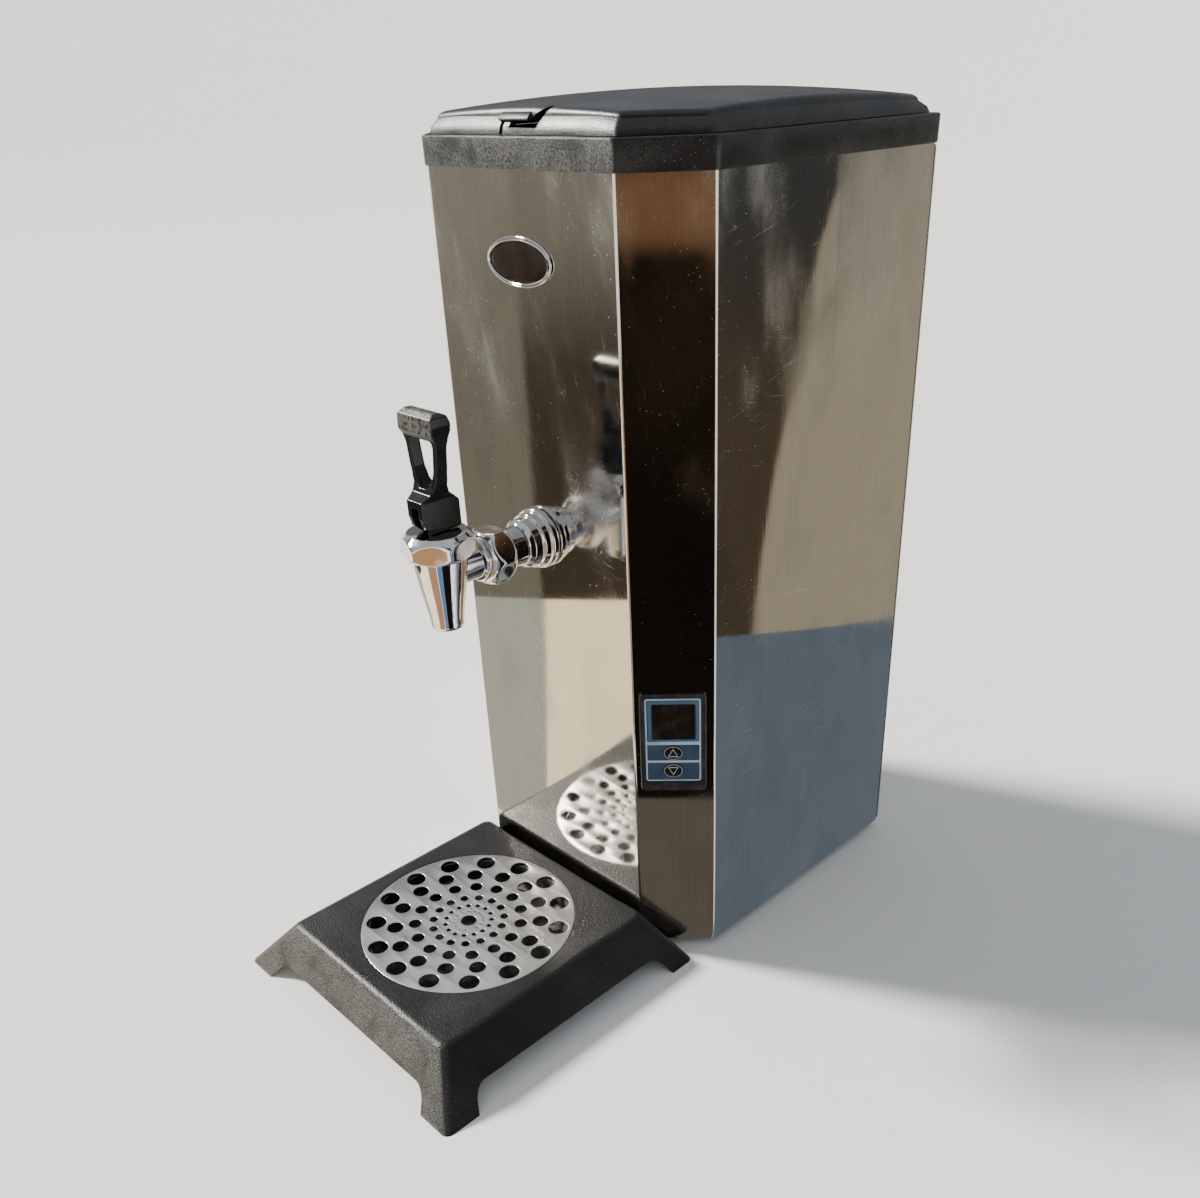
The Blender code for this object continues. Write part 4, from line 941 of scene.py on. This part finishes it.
def tap_fittings():
    """Bonnet, flange, shank and the union nut with its ring."""
    cap = [(0.0150, 0.0238), (0.0158, 0.0236), (0.0176, 0.0218), (0.0192, 0.0204),
           (0.0209, 0.0182), (0.0209, 0.0134), (0.0192, 0.0116), (0.0178, 0.0105), (0.0168, 0.0100)]
    bonnet = nut("bonnet_cap", 0.0360, 0.0031, cap, SPOUT, 14.0)
    cut(bonnet, rod("bonnet_thread", 0.0128, 0.0090, 0.0188, SPOUT, 72))
    present(bonnet, "chrome_plate", "tap_bonnet", angle=40)
    union = [(0.0128, 0.0280), (0.0138, 0.0286), (0.0152, 0.0303), (0.0168, 0.0330),
             (0.0168, 0.0390), (0.0152, 0.0417), (0.0138, 0.0434), (0.0128, 0.0440)]
    coupling = nut("union_nut", 0.0290, 0.0099, union, SHANK, 30.0)
    present(coupling, "chrome_plate", "coupling_nut", angle=40)
    flange = [(0.0074, 0.0177), (0.0116, 0.0177), (0.0121, 0.0172), (0.0138, 0.0150),
              (0.0139, 0.0100), (0.0152, 0.0094), (0.0155, 0.0088), (0.0155, 0.0054),
              (0.0168, 0.0049), (0.0172, 0.0040), (0.0172, 0.0014), (0.0168, 0.0004),
              (0.0160, GAP), (0.0074, GAP)]
    pipe = [(0.0048, 0.0355), (0.0096, 0.0355), (0.0096, 0.0282), (0.0107, 0.0276),
            (0.0110, 0.0268), (0.0112, 0.0184), (0.0110, 0.0180), (0.0070, 0.0180),
            (0.0070, -0.0280), (0.0048, -0.0280)]
    ring = [(0.0099, 0.0443), (0.0116, 0.0443), (0.0122, 0.0450), (0.0122, 0.0464),
            (0.0114, 0.0472), (0.0099, 0.0472)]
    for name, node, profile, radius, angle in (
            ("tap_flange", "tap_collar", flange, 0.0005, 40),
            ("shank_pipe", "tap_shank", pipe, 0.0004, 40),
            ("neck_collar", "neck_ring", ring, 0.0006, 50)):
        present(turned(name, profile, SHANK, FINE, radius), "chrome_plate", node, angle=angle)


HANDLE_SIDE = [(-0.0062, 0.0242), (0.0108, 0.0242), (0.0122, 0.0262), (0.0122, 0.0388),
               (0.0092, 0.0418), (0.0056, 0.0446), (0.0040, 0.0490), (0.0036, 0.0560),
               (0.0036, 0.0690), (0.0046, 0.0735), (0.0060, 0.0770), (0.0062, 0.0810),
               (0.0046, 0.0848), (0.0014, 0.0862), (-0.0026, 0.0862), (-0.0058, 0.0838),
               (-0.0062, 0.0760), (-0.0046, 0.0735), (-0.0036, 0.0690), (-0.0036, 0.0560),
               (-0.0042, 0.0490), (-0.0066, 0.0452), (-0.0118, 0.0418), (-0.0118, 0.0335),
               (-0.0104, 0.0282)]
HANDLE_HALF_FRONT = [(0.0062, 0.0242), (0.0062, 0.0418), (0.0078, 0.0454), (0.0096, 0.0510),
                     (0.0112, 0.0580), (0.0124, 0.0680), (0.0136, 0.0750), (0.0142, 0.0800),
                     (0.0138, 0.0840), (0.0118, 0.0863)]
HANDLE_HALF_LOOP = [(0.0026, 0.0474), (0.0060, 0.0506), (0.0082, 0.0566), (0.0096, 0.0660),
                    (0.0102, 0.0726)]
# Half the length of the blind bore that hides the pin's ends inside the cheeks
PIN_REACH = 0.0059


def mirrored(half):
    """Closed outline from its right half, which runs from bottom to top."""
    return half + [(-x, z) for x, z in reversed(half)]


def smooth_solid(obj, voxel, rounds):
    """Rebuild a solid with an even mesh and relax it, so that its edges are rounded."""
    remesh = obj.modifiers.new("even", "REMESH")
    remesh.mode = "VOXEL"
    remesh.voxel_size = voxel
    relax = obj.modifiers.new("relax", "SMOOTH")
    relax.factor = 0.5
    relax.iterations = rounds
    settle(obj)


def lever_handle():
    """Looped lever: where a side outline and a front outline cross, with a fork below."""
    lever = plate("lever_handle", [rounded(HANDLE_SIDE, 0.0006, 3)], -0.020, 0.020, SPOUT @ SIDE_ON)
    outlines = [rounded(mirrored(HANDLE_HALF_FRONT), 0.0010, 4),
                rounded(mirrored(HANDLE_HALF_LOOP), 0.0012, 4)]
    front = plate("handle_front", outlines, -0.030, 0.030, SPOUT @ FORWARD)
    boolean(lever, front, "INTERSECT")
    cut(lever, block("fork_slot", (0.0062, 0.0400, 0.0181), (0, TAP_Y, TAP_Z + 0.0295)))
    cut(lever, rod("pin_bore", 0.0017, -PIN_REACH, PIN_REACH,
                   at(0, TAP_Y, PIN_Z) @ ALONG_X, COARSE))
    smooth_solid(lever, 0.00036, 5)
    present(lever, "handle_plastic", "tap_handle", body="handle", angle=180)


# ---------------------------------------------------------------- inlet and gland at the rear

def rear_fittings():
    """Threaded inlet with its nut, and the ribbed gland."""
    spot = middle("inlet_valve")
    place = at(spot.x, REAR_Y, spot.z) @ BACKWARD
    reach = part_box("inlet_valve")[1].y - REAR_Y
    pitch, crest, root = 0.0018, 0.0132, 0.0122
    profile = [(0.0095, reach - 0.0006), (0.0100, reach), (0.0121, reach)]
    z = reach - 0.0012
    while z > 0.0085:
        profile += [(crest, z), (crest, z - 0.0003), (root, z - 0.0009), (root, z - 0.0011)]
        z -= pitch
    profile += [(crest, 0.0070), (crest, -0.0020), (0.0170, -0.0020), (0.0170, -0.0060),
                (0.0110, -0.0060), (0.0110, -0.0300), (0.0050, -0.0300), (0.0050, -0.0400),
                (0.0, -0.0400), (0.0, 0.0060), (0.0095, 0.0060)]
    inlet = turned("inlet_fitting", profile, place, 64)
    present(inlet, "inner_plastic", "inlet_valve")
    envelope = [(0.0150, 0.0060), (0.0185, 0.0040), (0.0185, 0.0022), (0.0150, GAP)]
    ring = nut("inlet_ring", 0.0320, 0.0135, envelope, place, 0.0, 120, 0.0008)
    present(ring, "brass_fittings", "inlet_locknut")
    spot = middle("cable_gland")
    place = at(spot.x, REAR_Y, spot.z) @ BACKWARD
    base = [(0.0040, 0.0194), (0.0046, 0.0200), (0.0072, 0.0200), (0.0086, 0.0184),
            (0.0093, 0.0172), (0.0100, 0.0160), (0.0100, 0.0076), (0.0104, 0.0070),
            (0.0115, 0.0065), (0.0115, GAP), (0.0080, GAP), (0.0080, -0.0120),
            (0.0040, -0.0120)]
    ribbed, rib_depth, ribs = {5, 6}, 0.0005, 16
    loops = []
    for k, (r, z) in enumerate(base):
        loop = []
        for i in range(FINE):
            a = 2 * pi * i / FINE
            depth = rib_depth * (1 - cos(ribs * a)) / 2 if k in ribbed else 0.0
            loop.append(((r - depth) * cos(a), (r - depth) * sin(a), z))
        loops.append(loop)
    gland = loft("gland_body", loops, place, closed=True)
    present(gland, "inner_plastic", "cable_gland")


# ---------------------------------------------------------------- drip tray and grid

TRAY_REACH = 0.1795
TRAY_TOP_HALF_WIDTH = 0.0760
TRAY_FOOT_HALF_WIDTH = 0.1025
TRAY_GAP = 0.0046
TRAY_TOP_FRONT = 0.1580
TRAY_REAR = 0.0125
TRAY_WALL = 0.0025
ARCH_HEIGHT = 0.0112
ARCH_MIDDLE_Y = FACE_Y - 0.0815
# Widening of an arch per unit of depth, to each side
ARCH_FLARE = 0.55
# The skirt is drawn this many times its height, so that the ground can be cut from it
PAST_FOOT = 1.03
GRID_RADIUS = (GRID_HIGH.x - GRID_LOW.x) / 2
GRID_THICKNESS = 0.0012
GRID_DISH = 0.0015
BOWL_RADIUS = 0.0610
BOWL_FLOOR = 0.0135
BOWL_WALL = 0.0020
DRAIN_RADIUS = 0.0049
HOLES_PER_RING = 15
# Rings of holes: ring radius, hole radius, angle of the first hole, corners
GRID_RINGS = [(0.0572, 0.00605, 10.4, 32), (0.0450, 0.0050, 16.7, 28), (0.0330, 0.00395, 13.3, 24),
              (0.0221, 0.00265, 4.9, 20), (0.0143, 0.00155, -1.4, 16), (0.0090, 0.0006, -2.4, 10)]


def tray_outline(share):
    """Plan of the splayed skirt, from the top (0) to the feet (1), anticlockwise."""
    def between(top, foot):
        return top + (foot - top) * share

    half = between(TRAY_TOP_HALF_WIDTH, TRAY_FOOT_HALF_WIDTH)
    front = FACE_Y - between(TRAY_TOP_FRONT, TRAY_REACH)
    rear = FACE_Y + between(-TRAY_GAP, TRAY_REAR)
    radius = between(0.0055, 0.0045)
    heel = between(-TRAY_GAP, -0.0035)
    heel_x = between(0.0560, 0.0680)
    inner = half - between(0.0110, 0.0100)
    corners = arc((half - radius, front + radius), radius, -90, 0, 8)
    corners += arc((half - radius, rear - radius), radius, 0, 90, 8)
    return mirrored(corners + [(inner, rear), (heel_x, FACE_Y + heel)])


def tray_body():
    """Moulded tray on four splayed feet, with a seat for the grid and a shallow bowl."""
    bm = bmesh.new()
    above, below = ([bm.verts.new((x, y, TRAY_TOP * (1 - share))) for x, y in tray_outline(share)]
                    for share in (0, PAST_FOOT))
    bm.faces.new(above)
    for i in range(len(above)):
        k = (i + 1) % len(above)
        bm.faces.new((below[i], below[k], above[k], above[i]))
    tray = new_piece("tray_body", bm)
    soften(tray, 0.0026, 5, 38)
    thicken(tray, TRAY_WALL, -1.0)
    arches = (("side_arch", (0.30, 0.1440), ARCH_MIDDLE_Y, 1),
              ("front_arch", (0.1500, 0.30), FACE_Y - 0.1500, 0))
    for name, size, y, widened in arches:
        arch = block(name, (*size, 0.0200), (0, y, ARCH_HEIGHT - 0.0100), 0.006, 6)
        for vertex in arch.data.vertices:
            below_top = ARCH_HEIGHT - 0.004 - vertex.co.z
            beside = (vertex.co.x, vertex.co.y - ARCH_MIDDLE_Y)[widened]
            vertex.co[widened] += below_top * ARCH_FLARE * (1 if beside > 0 else -1)
        cut(tray, arch)
    cut(tray, block("ground", (0.4, 0.4, 0.0200), (0, FACE_Y - 0.0800, -0.0100)))
    inner = BOWL_RADIUS
    outer = inner + BOWL_WALL
    under = BOWL_FLOOR - BOWL_WALL
    rim = TRAY_TOP - 0.0010
    place = at(0, GRID_Y, 0)
    bowl = [(0.0, rim), (outer, rim), (outer, under + 0.0030), (outer - 0.0040, under),
            (0.0, under - 0.0010)]
    join(tray, turned("bowl", bowl, place, FINE))
    seat = GRID_RADIUS + 0.0004
    ledge = GRID_TOP - GRID_THICKNESS - 2 * GAP
    past = TRAY_TOP + 0.0100
    hollow = [(0.0, past), (seat, past), (seat, ledge), (inner, ledge),
              (inner, BOWL_FLOOR + 0.0030), (inner - 0.0040, BOWL_FLOOR),
              (0.0, BOWL_FLOOR - 0.0010)]
    cut(tray, turned("bowl_inside", hollow, place, FINE))
    present(tray, "tray_plastic", "drip_tray", body="tray", angle=32)


def grid_disc():
    """Perforated disc, slightly dished, with softened edges round every hole."""
    outlines = [circle((0, 0), GRID_RADIUS, 128), circle((0, 0), DRAIN_RADIUS, 28)]
    for radius, hole, start, corners in GRID_RINGS:
        for i in range(HOLES_PER_RING):
            a = radians(start + 360 * i / HOLES_PER_RING)
            outlines.append(circle((radius * cos(a), radius * sin(a)), hole, corners))
    disc = plate("grid_disc", outlines, -GRID_THICKNESS, 0.0, None, 0.00022)
    present(disc, "stainless_grid", "drip_grid", body="grid", angle=35)
    mesh = disc.data
    slope = 2 * GRID_DISH / GRID_RADIUS ** 2
    normals = []
    for loop in mesh.loops:
        normal = loop.normal.copy()
        if abs(normal.z) > 0.999:
            point = mesh.vertices[loop.vertex_index].co
            way = 1 if normal.z > 0 else -1
            normal = Vector((-slope * point.x, -slope * point.y, 1)).normalized() * way
        normals.append(normal)
    for vertex in mesh.vertices:
        share = hypot(vertex.co.x, vertex.co.y) / GRID_RADIUS
        vertex.co.z -= GRID_DISH * (1 - min(1.0, share * share))
    mesh.transform(at(0, GRID_Y, GRID_TOP))
    mesh.normals_split_custom_set(normals)


# ---------------------------------------------------------------- carried-over CAD nodes

def dress_frame():
    """Every CAD node takes the finish of its slot."""
    for entry in frame["record"]["subparts"]:
        node = frame["nodes"][entry["node"]]
        node.data.materials.clear()
        node.data.materials.append(FINISHES[entry["material_slot"]].material)


# ---------------------------------------------------------------- stage, light and camera

IMAGE_WIDTH = 1200
IMAGE_HEIGHT = 1198
FOCAL_PIXELS = 1146.6
PRINCIPAL = (624.4, 715.6)
CAMERA_PLACE = Vector((0.47463, FACE_Y - 0.39258, 0.48673))
CAMERA_RIGHT = Vector((0.70366, 0.70964, -0.03566))
CAMERA_BACK = Vector((0.63040, -0.60035, 0.49211))


def make_camera():
    """The photograph's viewpoint, found by fitting the cabinet's corners and the tray."""
    data = bpy.data.cameras.new("camera")
    data.sensor_fit = "HORIZONTAL"
    data.sensor_width = 36.0
    data.lens = FOCAL_PIXELS * data.sensor_width / IMAGE_WIDTH
    data.shift_x = (IMAGE_WIDTH / 2 - PRINCIPAL[0]) / IMAGE_WIDTH
    data.shift_y = (PRINCIPAL[1] - IMAGE_HEIGHT / 2) / IMAGE_WIDTH
    data.clip_start = 0.01
    data.clip_end = 100.0
    back = CAMERA_BACK.normalized()
    right = (CAMERA_RIGHT - back * CAMERA_RIGHT.dot(back)).normalized()
    up = back.cross(right)
    camera = add_object("camera", data)
    turn = Matrix((right, up, back)).transposed()
    camera.matrix_world = Matrix.Translation(CAMERA_PLACE) @ turn.to_4x4()
    bpy.context.scene.camera = camera


def make_floor():
    """Pale matt floor, flat round the object and sloping up far away."""
    profile = [(0.0, 0.0), (4.0, 0.0), (4.6, 0.02), (5.3, 0.10), (6.2, 0.26), (14.0, 1.95)]
    floor = loft("floor", [ellipse_loop(r, r, z, FINE) for r, z in profile])
    floor.data.shade_smooth()
    matt = Finish("floor_matt", (0.86, 0.86, 0.85), 0.9)
    matt.tint(matt.noise(2.0, 0.3, 0.7, 0.2), (0.83, 0.83, 0.82))
    floor.data.materials.append(matt.material)


def make_flag(name, points, glow, top_glow=None, top_from=0.20, top_to=0.42):
    """Evenly lit card beside the set, as photographers use to shape reflections in steel."""
    bm = bmesh.new()
    bm.faces.new([bm.verts.new(p) for p in points])
    flag = new_piece(name, bm)
    cloth = Finish(name + "_cloth", (0, 0, 0), 1.0, Emission_Strength=1.0,
                   Specular_IOR_Level=0.0, Emission_Color=(*glow, 1.0))
    if top_glow:
        rising = cloth.along("Z", top_from, top_to)
        cloth.set("Emission Color", cloth.mix(rising, (*glow, 1.0), (*top_glow, 1.0)))
    flag.data.materials.append(cloth.material)
    flag.visible_camera = False
    flag.visible_diffuse = False
    flag.visible_shadow = False


def upright(foot, along, start, stop, height):
    """Corners of a standing card whose foot line runs through a point."""
    foot = Vector(foot)
    along = Vector(along).normalized()
    low = [foot + along * start, foot + along * stop]
    return low + [p + Vector((0, 0, height)) for p in reversed(low)]


# Floor cards lie this far above the floor
CARD_LIFT = 0.0015


def floor_card(name, corners, glow, lift=CARD_LIFT):
    """Card that lies just above the floor; where two overlap, the higher one is seen."""
    make_flag(name, [(x, y, lift) for x, y in corners], glow)


def make_flags():
    """Cards that the front, the right chamfer, the right side and the lid reflect."""
    front = (-0.375, -0.357, 0), (0.76, -0.65, 0)
    make_flag("flag_front_dark", upright(*front, -0.020, 0.15, 0.56),
              (0.085, 0.064, 0.045), (0.30, 0.28, 0.23), 0.22, 0.40)
    make_flag("flag_front_pale", upright(*front, -0.18, -0.020, 0.56),
              (0.27, 0.25, 0.195), (0.36, 0.34, 0.28), 0.22, 0.40)
    floor_card("flag_front_floor",
               [(-0.06, -0.06), (-0.60, -0.06), (-0.60, -0.21), (-0.387, -0.347)],
               (0.72, 0.72, 0.62))
    floor_card("flag_warm_floor",
               [(-0.06, -0.06), (-0.387, -0.347), (-0.20, -0.51), (0.10, -0.20)],
               (2.1, 1.75, 1.20), 0.0012)
    along, split = (0.7305, 0.6830, 0), 0.436
    make_flag("flag_chamfer", upright((0.159, -0.170, 0), along, -0.02, 0.14, split),
              (0.011, 0.009, 0.007), (0.24, 0.125, 0.062), 0.385, 0.402)
    make_flag("flag_chamfer_top", upright((0.159, -0.170, split), along, -0.02, 0.14, 0.18),
              (0.012, 0.012, 0.013))
    floor_card("flag_chamfer_floor",
               [(0.075, -0.035), (0.064, -0.259), (0.283, -0.054), (0.102, 0.0)],
               (0.16, 0.14, 0.11))
    floor_card("flag_tap_warm", [(-0.02, -0.30), (0.02, -1.80), (0.95, -1.55), (0.125, -0.27)],
               (0.62, 0.34, 0.16))
    floor_card("flag_tap_blue", [(0.14, -0.28), (0.75, -1.10), (1.10, -0.30), (0.34, -0.09)],
               (0.15, 0.27, 0.50))
    floor_card("flag_tap_far", [(0.78, -1.13), (3.6, -3.8), (4.4, -1.3), (1.13, -0.30)],
               (0.66, 0.38, 0.19))
    side_foot = Vector((0.398, 0.344, 0))
    side_along = Vector((-0.643, 0.766, 0))
    edge = [(0.0185, 0.0), (0.026, 0.068), (0.038, 0.145), (0.055, 0.218), (0.070, 0.285),
            (0.0845, 0.349), (0.099, 0.386), (0.117, 0.422), (0.145, 0.460), (0.190, 0.500)]

    def on_side(points):
        return [tuple(side_foot + side_along * s + Vector((0, 0, z))) for s, z in points]

    make_flag("flag_side_pale", on_side(edge + [(0.42, 0.50), (0.42, 0.0)]),
              (0.50, 0.44, 0.33), (0.42, 0.385, 0.31))
    make_flag("flag_side_dark", on_side(edge[::-1] + [(-0.14, 0.0), (-0.14, 0.50)]),
              (0.095, 0.072, 0.048), (0.060, 0.062, 0.062))
    floor_card("flag_side_floor", [(0.106, 0.0), (0.488, 0.237), (0.128, 0.666), (0.106, 0.18)],
               (0.17, 0.215, 0.275))
    make_flag("flag_behind", upright((-0.55, 0.62, 0.28), (0.72, 0.69, 0), -0.75, 0.75, 0.42),
              (0.15, 0.168, 0.19))


SUN_AZIMUTH = -65
SUN_ELEVATION = 37
SUN_WIDTH = 9


def make_light():
    """One broad soft key light, and an even sky that fills its shadows."""
    data = bpy.data.lights.new("key", "SUN")
    data.angle = radians(SUN_WIDTH)
    data.energy = 8.0
    data.color = (1.0, 0.955, 0.88)
    sun = add_object("key", data)
    sun.rotation_euler = Euler((radians(90 - SUN_ELEVATION), 0, radians(SUN_AZIMUTH)))
    world = bpy.data.worlds.new("studio")
    bpy.context.scene.world = world
    world.use_nodes = True
    background = world.node_tree.nodes["Background"]
    background.inputs["Color"].default_value = (0.88, 0.94, 1.0, 1.0)
    background.inputs["Strength"].default_value = 0.55


# ---------------------------------------------------------------- assembly

def build():
    dress_frame()
    cabinet_skin()
    cap_screws()
    collar_band()
    lid_cover()
    badge()
    display_panel()
    tap_spout()
    tap_fittings()
    lever_handle()
    rear_fittings()
    tray_body()
    grid_disc()


make_camera()
make_floor()
make_flags()
make_light()
build()
